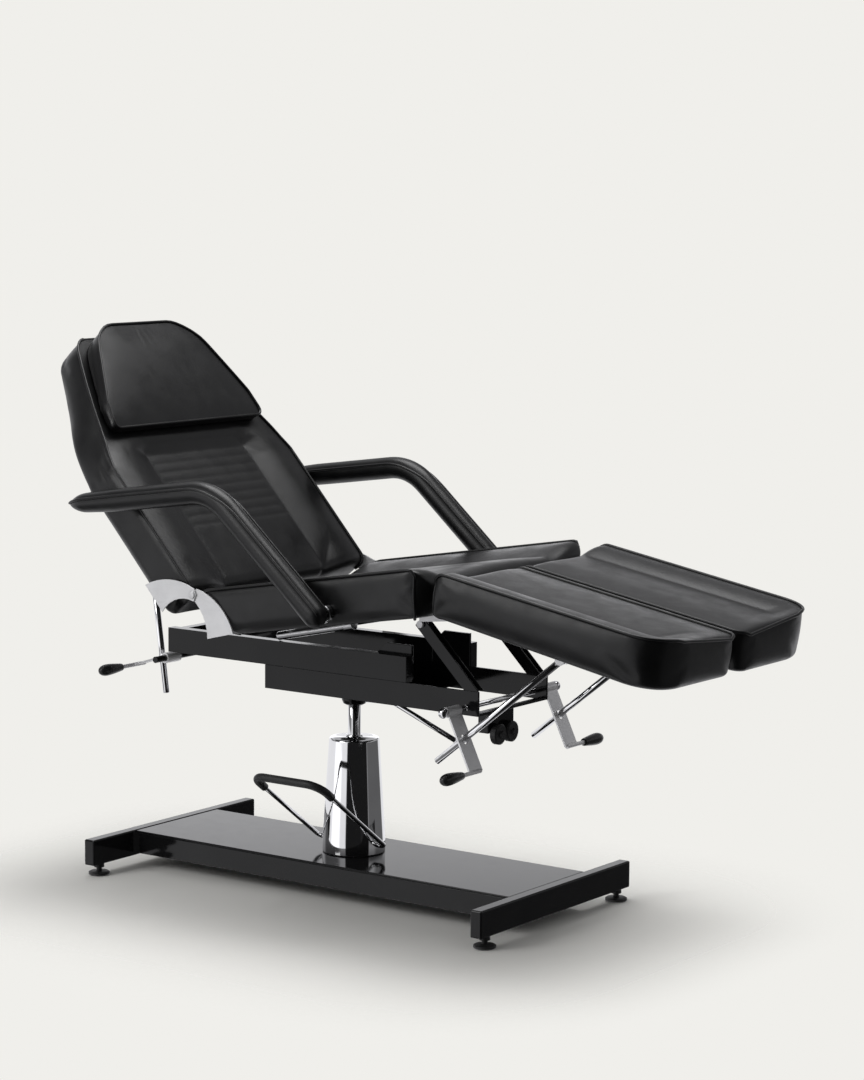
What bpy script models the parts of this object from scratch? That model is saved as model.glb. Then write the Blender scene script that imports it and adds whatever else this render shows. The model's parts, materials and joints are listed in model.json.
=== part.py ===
"""Podiatry chair: hydraulic pedal base, turning seat frame, reclining back, two leg pads, two armrests.

Metres, +X towards the foot end, +Y to the sitter's left, +Z up, floor at Z = 0.
Everything is drawn about the pump's axis and moved at the end, so that the middle of the
chair's box stands over the origin.
"""
import math

import bmesh
import bpy
from mathutils import Matrix, Vector

# Fits
GAP = 0.0003
PIN_CLEARANCE = 0.0003
SWIVEL_CLEARANCE = 0.0004

# Base
BASE_LENGTH = 1.04
BAR_WIDTH = 0.0268
BAR_HALF_LENGTH = 0.274
BAR_BOTTOM = 0.0245
BAR_TOP = 0.0808
DECK_HALF_WIDTH = 0.1374
DECK_TOP = 0.0798
DECK_SHEET = 0.004
FLANGE_BOTTOM = 0.030
FLANGE_REAR_RELIEF = 0.010
FOOT_Y = 0.2416
FOOT_RADIUS = 0.023
FOOT_DISC = 0.008
FOOT_NUT_RADIUS = 0.011
FOOT_STEM_RADIUS = 0.006

# Pump, piston and pedal
COVER_FOOT_RADIUS = 0.067
COVER_HEAD_RADIUS = 0.0535
COVER_HEAD = 0.325
GLAND_RADIUS = 0.018
GLAND_HEIGHT = 0.006
ROD_RADIUS = 0.0135
ROD_BOTTOM = 0.140
LIFT_DOWN = 0.055
ROD_TOP = 0.424
PEDAL_AXIS_Y = -0.005
PEDAL_AXIS_Z = 0.101
PEDAL_HALF_WIDTH = 0.088
PEDAL_INNER_END = 0.026
PEDAL_REACH = 0.285
PEDAL_RISE = math.radians(36.0)
PEDAL_WIRE = 0.0048
PEDAL_BEND = 0.034
PEDAL_FOOT_BEND = 0.014
GRIP_RADIUS = 0.0085
GRIP_ARM_LENGTH = 0.054

# Turning frame
COLLAR_RADIUS = 0.027
COLLAR_BOTTOM = 0.395
COLLAR_FLANGE_RADIUS = 0.050
COLLAR_FLANGE = 0.416
TRAY_BOTTOM = 0.432
TRAY_TOP = 0.482
TRAY_REAR = -0.141
TRAY_FRONT = 0.405
TRAY_FLOOR_FRONT = 0.160
TRAY_SHEET = 0.005
FRAME_HALF_WIDTH = 0.126
RAIL_WIDTH = 0.022
RAIL_TOP = 0.535
RAIL_REAR = -0.408
RAIL_FRONT = 0.226
LUG_REAR = 0.130
LUG_TOP = 0.556
LUG_SHEET = 0.005
STRAP_REAR = 0.388
REAR_BAR = (-0.422, 0.466)
REAR_BAR_RADIUS = 0.007
REAR_BAR_HALF_LENGTH = 0.153
FRONT_ROD = (0.374, 0.447)
FRONT_ROD_RADIUS = 0.006
FRONT_ROD_HALF_LENGTH = 0.2078
FRONT_ROD_NUT_RADIUS = 0.0105
FRONT_ROD_NUT = 0.012
STRUT_FOOT_X = 0.3865
STRUT_HEAD = (0.262, 0.606)
STRUT_DEPTH = 0.025
STRUT_WIDTH = 0.020
STRUT_SHEET = 0.003
STRUT_Y = 0.1145
BRACE_REAR_X = -0.112
BRACE_FRONT_X = 0.085
BRACE_RADIUS = 0.009
BRACE_COLLAR_RADIUS = 0.0115
CLAMP_DISC_RADIUS = 0.0215
CLAMP_DISC_Y = (-0.049, -0.0055)
CLAMP_DISC_Z = 0.3855
CLAMP_BLOCK_BOTTOM = 0.388
CLAMP_BLOCK_REAR = 0.368
CLAMP_BLOCK_FRONT = 0.394
LEVER_RADIUS = 0.0055
LEVER_AXIS_Z = 0.4075
LEVER_KNEE = (0.100, 0.411)
LEVER_END = (0.262, 0.348)

# Linkages: pad hinge, rod eye on the pad, place where the rod runs through its jam plate
JAM_ROD_RADIUS = 0.007
JAM_EYE_RADIUS = 0.0105
JAM_EYE_WIDTH = 0.016
JAM_PIN_RADIUS = 0.0045
JAM_SHEET = 0.004
JAM_WIDTH = 0.044
JAM_HOLE_HALF_WIDTH = 0.0074
JAM_HOLE_HALF_LENGTH = 0.0105
JAM_KNUCKLE = 0.0045
HANDLE_RADIUS = 0.0045
KNOB_RADIUS = 0.011
KNOB_LENGTH = 0.070
KNOB_SOCKET = 0.030
CHEEK_SHEET = 0.003
CHEEK_EYE_RADIUS = 0.011
CHEEK_INNER = 0.0095
BRACKET_REACH = (0.425, 0.668)
BRACKET_HALF_WIDTH = 0.012
HINGE_CHEEK = 0.030
ROD_CHEEK = 0.013
EAR_REACH = (0.300, 0.374)
EAR_HALF_WIDTH = 0.009
EAR_DEPTH = 0.014
EAR_EYE_RADIUS = 0.0085
BACK_BRACKET_REACH = (0.185, 0.325)
BACK_BRACKET_HALF_WIDTH = 0.028
BACK_HINGE = (-0.189, 0.645)
BACK_EYE = (-0.487, 0.749)
BACK_JAM = (-0.447, 0.463)
BACK_ROD_LENGTH = 0.367
BACK_ROD_Y = -0.100
BACK_JAM_END = (-0.512, 0.442)
BACK_KNOB_Y = -0.160
LEG_HINGE = (0.397, 0.640)
LEG_EYE = (0.636, 0.5786)
LEG_JAM = (0.404, 0.3935)
LEG_ROD_LENGTH = 0.3805
LEG_ROD_Y = 0.173
LEG_JAM_END = (0.4337, 0.3315)
LEG_KNOB_Y = 0.220
LEG_HINGE_RADIUS = 0.005

# Side plates of the back hinge
PLATE_SHEET = 0.003
PLATE_STANDOFF = 0.0005
RIVET_RADIUS = 0.005
RIVET_HEAD_RADIUS = 0.0085
RIVET_HEAD = 0.003
BACK_PLATE_TOP = ((-0.315, 0.655), (-0.255, 0.672), (-0.184, 0.658))
BACK_PLATE_UNDER = ((-0.184, 0.632), (-0.224, 0.634), (-0.269, 0.603))
BACK_PLATE_NOSE = (-0.178, 0.646)
SEAT_PLATE_TOP = ((-0.180, 0.658), (-0.116, 0.626), (-0.082, 0.574))
SEAT_PLATE_UNDER = ((-0.150, 0.557), (-0.161, 0.603), (-0.195, 0.640))

# Upholstery, as side corners in X and Z: rear bottom, front bottom, rear top edge, front top edge
SEAT_CORNERS = ((-0.099, 0.569), (0.383, 0.649), (-0.176, 0.6535), (0.358, 0.743))
SEAT_HALF_WIDTH = 0.300
LEG_CORNERS = ((0.408, 0.653), (0.920, 0.5527), (0.432, 0.742), (0.934, 0.6525))
LEG_INNER_Y = 0.010
LEG_OUTER_Y = SEAT_HALF_WIDTH
LEG_OUTER_CORNER = 0.078
LEG_INNER_CORNER = 0.024
LEG_DISH = 0.018
BACK_FOOT = (-0.200, 0.664)
BACK_LEAN = math.radians(48.0)
BACK_START = -0.012
BACK_LENGTH = 0.655
BACK_DEPTH = 0.099
BACK_THIN_START = 0.260
BACK_THINNING = 0.018
BACK_NARROWING = ((-0.012, 0.0), (0.310, 0.0), (0.350, 0.013), (0.400, 0.031), (0.460, 0.052),
                  (0.530, 0.079), (0.580, 0.101), (0.630, 0.124), (0.655, 0.134))
BACK_CHANNELS = 11
BACK_CHANNEL_FIRST = 0.205
BACK_CHANNEL_LAST = 0.395
BACK_CHANNEL_DEPTH = 0.004
PILLOW_START = 0.395
PILLOW_LENGTH = 0.2625
PILLOW_NARROWING = ((0.000, 0.054), (0.060, 0.066), (0.125, 0.095), (0.185, 0.122), (0.235, 0.150),
                    (0.2625, 0.162))
PILLOW_THICK = 0.046
PILLOW_SEAT = 0.001
PILLOW_END_SHARE = 0.35
ARM_HALF_HEIGHT = 0.0255
ARM_HALF_WIDTH = 0.0245
ARM_PIVOT = (0.157, 0.638)
ARM_CORNER = (-0.106, 0.868)
ARM_BEND = 0.120
ARM_TAPER = (-0.385, 0.829)
ARM_TIP = (-0.494, 0.814)
ARM_BOLT_RADIUS = 0.006
ARM_BOLT_DEPTH = 0.030
ARM_DISC_RADIUS = 0.019
ARM_DISC = 0.0144

SIDES = (("right", -1.0), ("left", 1.0))
ROUND = 20

MATERIALS = {
    "black_vinyl": ((0.012, 0.012, 0.013), 0.0, 0.38),
    "black_paint": ((0.010, 0.010, 0.011), 0.0, 0.25),
    "chrome": ((0.80, 0.80, 0.81), 1.0, 0.06),
    "satin_steel": ((0.70, 0.70, 0.71), 1.0, 0.28),
    "black_rubber": ((0.016, 0.016, 0.017), 0.0, 0.60),
}

for old in list(bpy.data.objects):
    bpy.data.objects.remove(old, do_unlink=True)


# Object helpers
def material(slot):
    found = bpy.data.materials.get(slot)
    if found:
        return found
    colour, metal, rough = MATERIALS[slot]
    made = bpy.data.materials.new(slot)
    made.use_nodes = True
    shader = made.node_tree.nodes["Principled BSDF"]
    shader.inputs["Base Color"].default_value = (*colour, 1.0)
    shader.inputs["Metallic"].default_value = metal
    shader.inputs["Roughness"].default_value = rough
    return made


def add(name, slot, bm, pivot=(0.0, 0.0, 0.0), smooth=False, edge=0.0):
    """Turns a drawing in world coordinates into an object with its origin at the pivot."""
    bmesh.ops.recalc_face_normals(bm, faces=bm.faces)
    bmesh.ops.translate(bm, verts=bm.verts, vec=-Vector(pivot))
    mesh = bpy.data.meshes.new(name)
    bm.to_mesh(mesh)
    bm.free()
    if smooth:
        mesh.polygons.foreach_set("use_smooth", [True] * len(mesh.polygons))
        mesh.set_sharp_from_angle(angle=math.radians(40.0))
    mesh.materials.append(material(slot))
    made = bpy.data.objects.new(name, mesh)
    made.location = pivot
    bpy.context.scene.collection.objects.link(made)
    if edge:
        rounding = made.modifiers.new("edges", "BEVEL")
        rounding.width = edge
        rounding.segments = 2
        rounding.limit_method = "ANGLE"
        rounding.angle_limit = math.radians(50.0)
    return made


def combine(target, tool_name, bm, operation):
    """Joins or cuts a drawing with an object, through a hidden tool object."""
    tool = add(tool_name, "black_paint", bm)
    tool.hide_render = True
    tool.display_type = "WIRE"
    change = target.modifiers.new(tool_name, "BOOLEAN")
    change.operation = operation
    change.solver = "EXACT"
    change.object = tool


def join(target, tool_name, bm):
    combine(target, tool_name, bm, "UNION")


def cut(target, tool_name, bm):
    combine(target, tool_name, bm, "DIFFERENCE")


# Shape helpers, all drawn in world coordinates
def skin(rings, closed=False):
    """Joins rings of points with quads, with end caps unless the rings close on themselves."""
    bm = bmesh.new()
    rows = [[bm.verts.new(point) for point in ring] for ring in rings]
    pairs = list(zip(rows, rows[1:]))
    if closed:
        pairs.append((rows[-1], rows[0]))
    for low, high in pairs:
        count = len(low)
        for i in range(count):
            j = (i + 1) % count
            bm.faces.new((low[i], low[j], high[j], high[i]))
    if not closed:
        bm.faces.new(rows[0])
        bm.faces.new(rows[-1])
    return bm


def block(low, high):
    (x0, y0, z0), (x1, y1, z1) = low, high
    ring = ((x0, y0), (x1, y0), (x1, y1), (x0, y1))
    return skin([[(x, y, z) for x, y in ring] for z in (z0, z1)])


def prism(outline, y0, y1):
    """A flat outline in X and Z, given thickness along Y."""
    return skin([[(x, y, z) for x, z in outline] for y in (y0, y1)])


def lathe(profile, foot, axis, sides=ROUND):
    """A closed turned profile of radius and height pairs; two ends on the axis become poles."""
    turn = Vector((0.0, 0.0, 1.0)).rotation_difference(Vector(axis)).to_matrix().to_4x4()
    place = Matrix.Translation(Vector(foot)) @ turn
    bm = bmesh.new()
    rows = []
    for radius, height in profile:
        steps = sides if radius > 0.0 else 1
        row = []
        for i in range(steps):
            angle = 2.0 * math.pi * i / sides
            spot = Vector((radius * math.cos(angle), radius * math.sin(angle), height))
            row.append(bm.verts.new(place @ spot))
        rows.append(row)
    pairs = list(zip(rows, rows[1:]))
    if len(rows[0]) > 1:
        pairs.append((rows[-1], rows[0]))
    for low, high in pairs:
        for i in range(sides):
            j = (i + 1) % sides
            if len(low) == 1:
                bm.faces.new((low[0], high[j], high[i]))
            elif len(high) == 1:
                bm.faces.new((low[i], low[j], high[0]))
            else:
                bm.faces.new((low[i], low[j], high[j], high[i]))
    return bm


def cylinder(foot, head, radius, sides=ROUND):
    run = Vector(head) - Vector(foot)
    profile = ((0.0, 0.0), (radius, 0.0), (radius, run.length), (0.0, run.length))
    return lathe(profile, foot, run.normalized(), sides)


def across(spot, y0, y1, radius, sides=ROUND):
    """A cylinder along Y through a point given in X and Z."""
    return cylinder((spot[0], y0, spot[1]), (spot[0], y1, spot[1]), radius, sides)


def bend(points, radii, steps=6):
    """Rounds the inner corners of a path, each with its own radius."""
    points = [Vector(p) for p in points]
    path = [points[0]]
    for before, corner, after, radius in zip(points, points[1:], points[2:], radii):
        arrive = (corner - before).normalized()
        leave = (after - corner).normalized()
        turn = arrive.angle(leave)
        start = corner - arrive * radius * math.tan(turn / 2.0)
        inward = (leave - arrive * leave.dot(arrive)).normalized()
        centre = start + inward * radius
        for i in range(steps + 1):
            angle = turn * i / steps
            path.append(centre - inward * radius * math.cos(angle) + arrive * radius * math.sin(angle))
    path.append(points[-1])
    return path


def tube(path, radius, inner=0.0, sides=14):
    """A round bar along a path, or a sleeve when an inner radius is given."""
    path = [Vector(p) for p in path]
    tangents = []
    for i in range(len(path)):
        ahead = path[min(i + 1, len(path) - 1)] - path[i]
        behind = path[i] - path[max(i - 1, 0)]
        tangents.append((ahead.normalized() + behind.normalized()).normalized())
    side = tangents[0].orthogonal().normalized()
    rings = []
    bores = []
    for point, tangent in zip(path, tangents):
        side = (side - tangent * side.dot(tangent)).normalized()
        other = tangent.cross(side)
        turns = [2.0 * math.pi * i / sides for i in range(sides)]
        arms = [side * math.cos(a) + other * math.sin(a) for a in turns]
        rings.append([point + arm * radius for arm in arms])
        bores.append([point + arm * inner for arm in arms])
    if inner:
        return skin(rings + bores[::-1], closed=True)
    return skin(rings)


def arc(centre, radius, start, end, steps):
    """Points on a circle in X and Z, with angles in degrees up from +X."""
    turns = [math.radians(start + (end - start) * i / steps) for i in range(steps + 1)]
    return [(centre[0] + radius * math.cos(a), centre[1] + radius * math.sin(a)) for a in turns]


def arc_through(start, middle, end, steps):
    """Points from start to end on the circle through three points in X and Z."""
    a, b, c = (Vector(p) for p in (start, middle, end))
    twice = 2.0 * ((a - c).cross(b - c))
    square_a = (a - c).length_squared
    square_b = (b - c).length_squared
    centre = c + Vector((
        ((b - c)[1] * square_a - (a - c)[1] * square_b) / twice,
        ((a - c)[0] * square_b - (b - c)[0] * square_a) / twice,
    ))
    first, last = ((p - centre) for p in (a, c))
    turn = math.degrees(first.angle_signed(last))
    begin = math.degrees(math.atan2(first[1], first[0]))
    return arc(centre, first.length, begin, begin - turn, steps)


def along(start, end, distance):
    """The point on the line through two points at a distance from the first."""
    run = Vector(end) - Vector(start)
    spot = Vector(start) + run.normalized() * distance
    return tuple(spot)


def heading(start, end):
    return math.degrees(math.atan2(end[1] - start[1], end[0] - start[0]))


def eye_link(start, end, radius_start, radius_end, steps=8):
    """Outline of a flat bar with round ends about two points."""
    angle = heading(start, end)
    first = arc(start, radius_start, angle + 90.0, angle + 270.0, steps)
    return first + arc(end, radius_end, angle - 90.0, angle + 90.0, steps)


def seat_bottom(x):
    (x0, z0), (x1, z1) = SEAT_CORNERS[:2]
    return z0 + (z1 - z0) * (x - x0) / (x1 - x0)


def leg_bottom(x):
    (x0, z0), (x1, z1) = LEG_CORNERS[:2]
    return z0 + (z1 - z0) * (x - x0) / (x1 - x0)


def back_point(rise, front):
    """A point of the backrest in X and Z, from its place up the back and in front of its edge plane."""
    x = BACK_FOOT[0] - rise * math.cos(BACK_LEAN) + front * math.sin(BACK_LEAN)
    z = BACK_FOOT[1] + rise * math.sin(BACK_LEAN) + front * math.cos(BACK_LEAN)
    return (x, z)


def spot(pair, y=0.0):
    return (pair[0], y, pair[1])


# Base
half_base = BASE_LENGTH / 2.0
bar_inner = half_base - BAR_WIDTH
deck_end = bar_inner - GAP
foot_reach = half_base - BAR_WIDTH / 2.0
for end, bar_rear in (("front", bar_inner), ("rear", -half_base)):
    low = (bar_rear, -BAR_HALF_LENGTH, BAR_BOTTOM)
    high = (bar_rear + BAR_WIDTH, BAR_HALF_LENGTH, BAR_TOP)
    add(f"base_bar_{end}", "black_paint", block(low, high), edge=0.003)
low = (-deck_end, -DECK_HALF_WIDTH, DECK_TOP - DECK_SHEET)
high = (deck_end, DECK_HALF_WIDTH, DECK_TOP)
add("base_deck", "black_paint", block(low, high), edge=0.0015)
foot_profile = (
    (0.0, 0.0),
    (FOOT_RADIUS - 0.002, 0.0),
    (FOOT_RADIUS, 0.002),
    (FOOT_RADIUS, FOOT_DISC - 0.002),
    (FOOT_RADIUS - 0.004, FOOT_DISC),
    (FOOT_STEM_RADIUS, FOOT_DISC + 0.001),
    (FOOT_STEM_RADIUS, BAR_BOTTOM - 0.008),
    (FOOT_NUT_RADIUS, BAR_BOTTOM - 0.008),
    (FOOT_NUT_RADIUS, BAR_BOTTOM - GAP),
    (0.0, BAR_BOTTOM - GAP),
)
for side, sign in SIDES:
    outer_y = sign * DECK_HALF_WIDTH
    inner_y = sign * (DECK_HALF_WIDTH - DECK_SHEET)
    low = (-deck_end + FLANGE_REAR_RELIEF, min(inner_y, outer_y), FLANGE_BOTTOM)
    high = (deck_end, max(inner_y, outer_y), DECK_TOP - DECK_SHEET - GAP)
    add(f"base_flange_{side}", "black_paint", block(low, high), edge=0.001)
    for end, foot_x in (("front", foot_reach), ("rear", -foot_reach)):
        turned = lathe(foot_profile, (foot_x, sign * FOOT_Y, 0.0), (0.0, 0.0, 1.0))
        add(f"foot_{end}_{side}", "black_rubber", turned, smooth=True)

# Pump, piston and pedal
bore = ROD_RADIUS + SWIVEL_CLEARANCE
cover_profile = (
    (0.0, DECK_TOP + GAP),
    (COVER_FOOT_RADIUS, DECK_TOP + GAP),
    (COVER_FOOT_RADIUS - 0.0005, DECK_TOP + 0.030),
    (COVER_HEAD_RADIUS, COVER_HEAD - 0.0025),
    (COVER_HEAD_RADIUS - 0.0025, COVER_HEAD),
    (GLAND_RADIUS, COVER_HEAD),
    (GLAND_RADIUS, COVER_HEAD + GLAND_HEIGHT - 0.001),
    (GLAND_RADIUS - 0.001, COVER_HEAD + GLAND_HEIGHT),
    (bore, COVER_HEAD + GLAND_HEIGHT),
    (bore, ROD_BOTTOM - LIFT_DOWN - 0.002),
    (0.0, ROD_BOTTOM - LIFT_DOWN - 0.002),
)
up = (0.0, 0.0, 1.0)
cover = add("pump_cover", "chrome", lathe(cover_profile, (0.0, 0.0, 0.0), up, 40), smooth=True)
pedal_axis = (0.0, PEDAL_AXIS_Y, PEDAL_AXIS_Z)
for side, sign in (("front", 1.0), ("rear", -1.0)):
    start = (sign * (PEDAL_INNER_END - 0.001), PEDAL_AXIS_Y, PEDAL_AXIS_Z)
    end = (sign * (COVER_FOOT_RADIUS + PEDAL_WIRE), PEDAL_AXIS_Y, PEDAL_AXIS_Z)
    cut(cover, f"cut_cover_{side}", cylinder(start, end, PEDAL_WIRE + PIN_CLEARANCE, 16))
piston = cylinder((0.0, 0.0, ROD_BOTTOM), (0.0, 0.0, ROD_TOP), ROD_RADIUS, 32)
add("piston_rod", "chrome", piston, smooth=True)
arm_run = Vector((0.0, -math.cos(PEDAL_RISE), math.sin(PEDAL_RISE)))
ends = {}
for sign in (1.0, -1.0):
    foot = Vector((sign * PEDAL_HALF_WIDTH, PEDAL_AXIS_Y, PEDAL_AXIS_Z))
    inner_end = (sign * PEDAL_INNER_END, PEDAL_AXIS_Y, PEDAL_AXIS_Z)
    head = foot + arm_run * PEDAL_REACH
    ends[sign] = (inner_end, foot, head, head - arm_run * GRIP_ARM_LENGTH)
front, rear = ends[1.0], ends[-1.0]
wire = bend((front[0], front[1], front[2], rear[2], rear[1], rear[0]),
            (PEDAL_FOOT_BEND, PEDAL_BEND, PEDAL_BEND, PEDAL_FOOT_BEND))
add("pedal_bar", "chrome", tube(wire, PEDAL_WIRE), pedal_axis, smooth=True)
sleeve = bend((front[3], front[2], rear[2], rear[3]), (PEDAL_BEND, PEDAL_BEND))
grip = tube(sleeve, GRIP_RADIUS, PEDAL_WIRE + PIN_CLEARANCE)
add("pedal_grip", "black_rubber", grip, pedal_axis, smooth=True)

# Collar and brake lever
collar_profile = (
    (0.0, TRAY_BOTTOM - GAP),
    (COLLAR_FLANGE_RADIUS, TRAY_BOTTOM - GAP),
    (COLLAR_FLANGE_RADIUS, COLLAR_FLANGE),
    (COLLAR_RADIUS, COLLAR_FLANGE),
    (COLLAR_RADIUS, COLLAR_BOTTOM + 0.010),
    (COLLAR_RADIUS - 0.003, COLLAR_BOTTOM + 0.003),
    (COLLAR_RADIUS - 0.008, COLLAR_BOTTOM),
    (bore, COLLAR_BOTTOM),
    (bore, ROD_TOP + SWIVEL_CLEARANCE),
    (0.0, ROD_TOP + SWIVEL_CLEARANCE),
)
add("swivel_collar", "black_paint", lathe(collar_profile, (0.0, 0.0, 0.0), up, 32), smooth=True)
lever_axis = (COLLAR_RADIUS + GAP, 0.0, LEVER_AXIS_Z)
lever_path = bend((lever_axis, spot(LEVER_KNEE), spot(LEVER_END)), (0.030,))
add("brake_lever", "chrome", tube(lever_path, LEVER_RADIUS), lever_axis, smooth=True)

# Tray and rails
floor_half = FRAME_HALF_WIDTH - TRAY_SHEET - GAP
low = (TRAY_REAR, -floor_half, TRAY_BOTTOM)
high = (TRAY_FLOOR_FRONT, floor_half, TRAY_BOTTOM + TRAY_SHEET)
add("tray_floor", "black_paint", block(low, high), edge=0.001)
low = (STRAP_REAR, -floor_half, TRAY_BOTTOM)
high = (TRAY_FRONT, floor_half, TRAY_BOTTOM + TRAY_SHEET)
add("tray_strap", "black_paint", block(low, high), edge=0.001)
rail_bottom = TRAY_TOP + GAP
rail_inner = FRAME_HALF_WIDTH - RAIL_WIDTH
lug_outline = (
    (LUG_REAR, rail_bottom + 0.004),
    (RAIL_FRONT - 0.001, rail_bottom + 0.004),
    (RAIL_FRONT - 0.001, LUG_TOP),
    (LUG_REAR + 0.030, LUG_TOP),
    (LUG_REAR, LUG_TOP - 0.030),
)
brace_y = FRAME_HALF_WIDTH - RAIL_WIDTH / 2.0
brace_rear = Vector((BRACE_REAR_X, 0.0, RAIL_TOP + BRACE_RADIUS + GAP))
brace_front = Vector((BRACE_FRONT_X, 0.0, seat_bottom(BRACE_FRONT_X) - BRACE_COLLAR_RADIUS - 0.0008))
brace_run = brace_front - brace_rear
brace_profile = (
    (0.0, 0.0),
    (BRACE_RADIUS, 0.0),
    (BRACE_RADIUS, brace_run.length - 0.024),
    (BRACE_COLLAR_RADIUS, brace_run.length - 0.022),
    (BRACE_COLLAR_RADIUS, brace_run.length),
    (0.0, brace_run.length),
)
for side, sign in SIDES:
    ys = sorted((sign * FRAME_HALF_WIDTH, sign * (FRAME_HALF_WIDTH - TRAY_SHEET)))
    wall = block((TRAY_REAR, ys[0], TRAY_BOTTOM), (TRAY_FRONT, ys[1], TRAY_TOP))
    wall = add(f"tray_wall_{side}", "black_paint", wall)
    hole = across(FRONT_ROD, ys[0] - 0.01, ys[1] + 0.01, FRONT_ROD_RADIUS + PIN_CLEARANCE)
    cut(wall, f"cut_tray_wall_{side}", hole)
    ys = sorted((sign * FRAME_HALF_WIDTH, sign * rail_inner))
    rail = block((RAIL_REAR, ys[0], rail_bottom), (RAIL_FRONT, ys[1], RAIL_TOP))
    rail = add(f"rail_{side}", "black_paint", rail)
    ys = sorted((sign * (rail_inner + 0.002), sign * (rail_inner - LUG_SHEET)))
    join(rail, f"join_rail_lug_{side}", prism(lug_outline, ys[0], ys[1]))
    foot = brace_rear + Vector((0.0, sign * brace_y, 0.0))
    brace = lathe(brace_profile, foot, brace_run.normalized())
    add(f"seat_brace_{side}", "chrome", brace, smooth=True)
low = (RAIL_REAR, -rail_inner + GAP, rail_bottom + 0.004)
high = (RAIL_REAR + RAIL_WIDTH, rail_inner - GAP, RAIL_TOP - 0.004)
add("rail_rear", "black_paint", block(low, high), edge=0.001)
bar = across(REAR_BAR, -REAR_BAR_HALF_LENGTH, REAR_BAR_HALF_LENGTH, REAR_BAR_RADIUS)
rear_bar = add("rear_cross_bar", "black_paint", bar, smooth=True)
for side, sign in SIDES:
    ys = sorted((sign * 0.035, sign * 0.060))
    tab = block((REAR_BAR[0], ys[0], REAR_BAR[1]), (RAIL_REAR - GAP, ys[1], RAIL_TOP - 0.012))
    join(rear_bar, f"join_rear_tab_{side}", tab)
rod_half = FRONT_ROD_HALF_LENGTH
nut_start = rod_half - FRONT_ROD_NUT
half_profile = (
    (0.0, rod_half),
    (FRONT_ROD_NUT_RADIUS - 0.003, rod_half),
    (FRONT_ROD_NUT_RADIUS, rod_half - 0.003),
    (FRONT_ROD_NUT_RADIUS, nut_start + 0.003),
    (FRONT_ROD_NUT_RADIUS - 0.003, nut_start),
    (FRONT_ROD_RADIUS, nut_start),
)
front_profile = half_profile + tuple((r, -h) for r, h in reversed(half_profile))
front_rod = lathe(front_profile, spot(FRONT_ROD), (0.0, 1.0, 0.0))
add("front_cross_rod", "chrome", front_rod, smooth=True)

# Struts and clevises under the front of the seat
strut_foot = (STRUT_FOOT_X, TRAY_TOP + GAP)
strut_run = (Vector(STRUT_HEAD) - Vector(strut_foot)).normalized()
strut_side = Vector((strut_run[1], -strut_run[0]))
strut_end = Vector(STRUT_HEAD) + strut_run * 0.008
half_depth = STRUT_DEPTH / 2.0
foot_half = half_depth / strut_run[1]
strut_outline = (
    (STRUT_FOOT_X - foot_half, strut_foot[1]),
    (STRUT_FOOT_X + foot_half, strut_foot[1]),
    tuple(strut_end + strut_side * half_depth),
    tuple(strut_end - strut_side * half_depth),
)
web = strut_side * (STRUT_SHEET - half_depth)
slot_low = Vector(strut_foot) - strut_run * 0.05
slot_high = strut_end + strut_run * 0.02
slot_outline = (
    tuple(slot_low + web),
    tuple(slot_low + strut_side * 0.03),
    tuple(slot_high + strut_side * 0.03),
    tuple(slot_high + web),
)
pin_profile = (
    (0.0, -0.016),
    (0.0075, -0.016),
    (0.0075, -STRUT_WIDTH / 2.0 - GAP),
    (0.004, -STRUT_WIDTH / 2.0 - GAP),
    (0.004, STRUT_WIDTH / 2.0 + GAP),
    (0.0075, STRUT_WIDTH / 2.0 + GAP),
    (0.0075, 0.016),
    (0.0, 0.016),
)
pad_x = (STRUT_HEAD[0] - 0.028, STRUT_HEAD[0] + 0.028)
pad_outline = (
    (pad_x[0], seat_bottom(pad_x[0]) - GAP),
    (pad_x[1], seat_bottom(pad_x[1]) - GAP),
    (pad_x[1], seat_bottom(pad_x[1]) - 0.0035),
    (pad_x[0], seat_bottom(pad_x[0]) - 0.0035),
)
lug_head = (STRUT_HEAD[0], seat_bottom(STRUT_HEAD[0]) - 0.0095)
along_y = (0.0, 1.0, 0.0)
for side, sign in SIDES:
    y = sign * STRUT_Y
    wide = STRUT_WIDTH / 2.0
    strut = add(f"strut_{side}", "black_paint", prism(strut_outline, y - wide, y + wide))
    cut(strut, f"cut_strut_slot_{side}", prism(slot_outline, y - wide + STRUT_SHEET, y + wide - STRUT_SHEET))
    cut(strut, f"cut_strut_pin_{side}", across(STRUT_HEAD, y - 0.02, y + 0.02, 0.004 + PIN_CLEARANCE, 16))
    lug = prism(eye_link(STRUT_HEAD, lug_head, 0.0085, 0.0085), y - 0.005, y + 0.005)
    clevis = add(f"clevis_{side}", "satin_steel", lug)
    join(clevis, f"join_clevis_pad_{side}", prism(pad_outline, y - 0.012, y + 0.012))
    join(clevis, f"join_clevis_pin_{side}", lathe(pin_profile, spot(STRUT_HEAD, y), along_y, 16))

# Clamp under the front strap
low = (CLAMP_BLOCK_REAR, CLAMP_DISC_Y[0] - 0.024, CLAMP_BLOCK_BOTTOM)
high = (CLAMP_BLOCK_FRONT, CLAMP_DISC_Y[1] + 0.024, TRAY_BOTTOM - GAP)
add("clamp_block", "black_paint", block(low, high), edge=0.002)
disc_profile = (
    (0.0, 0.0),
    (CLAMP_DISC_RADIUS - 0.002, 0.0),
    (CLAMP_DISC_RADIUS, 0.002),
    (CLAMP_DISC_RADIUS, 0.013),
    (CLAMP_DISC_RADIUS - 0.003, 0.015),
    (0.007, 0.015),
    (0.006, 0.020),
    (0.0, 0.020),
)
for side, y in zip(("right", "left"), CLAMP_DISC_Y):
    disc = lathe(disc_profile, (CLAMP_BLOCK_FRONT + GAP, y, CLAMP_DISC_Z), (1.0, 0.0, 0.0))
    add(f"clamp_disc_{side}", "black_rubber", disc, smooth=True)


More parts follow.
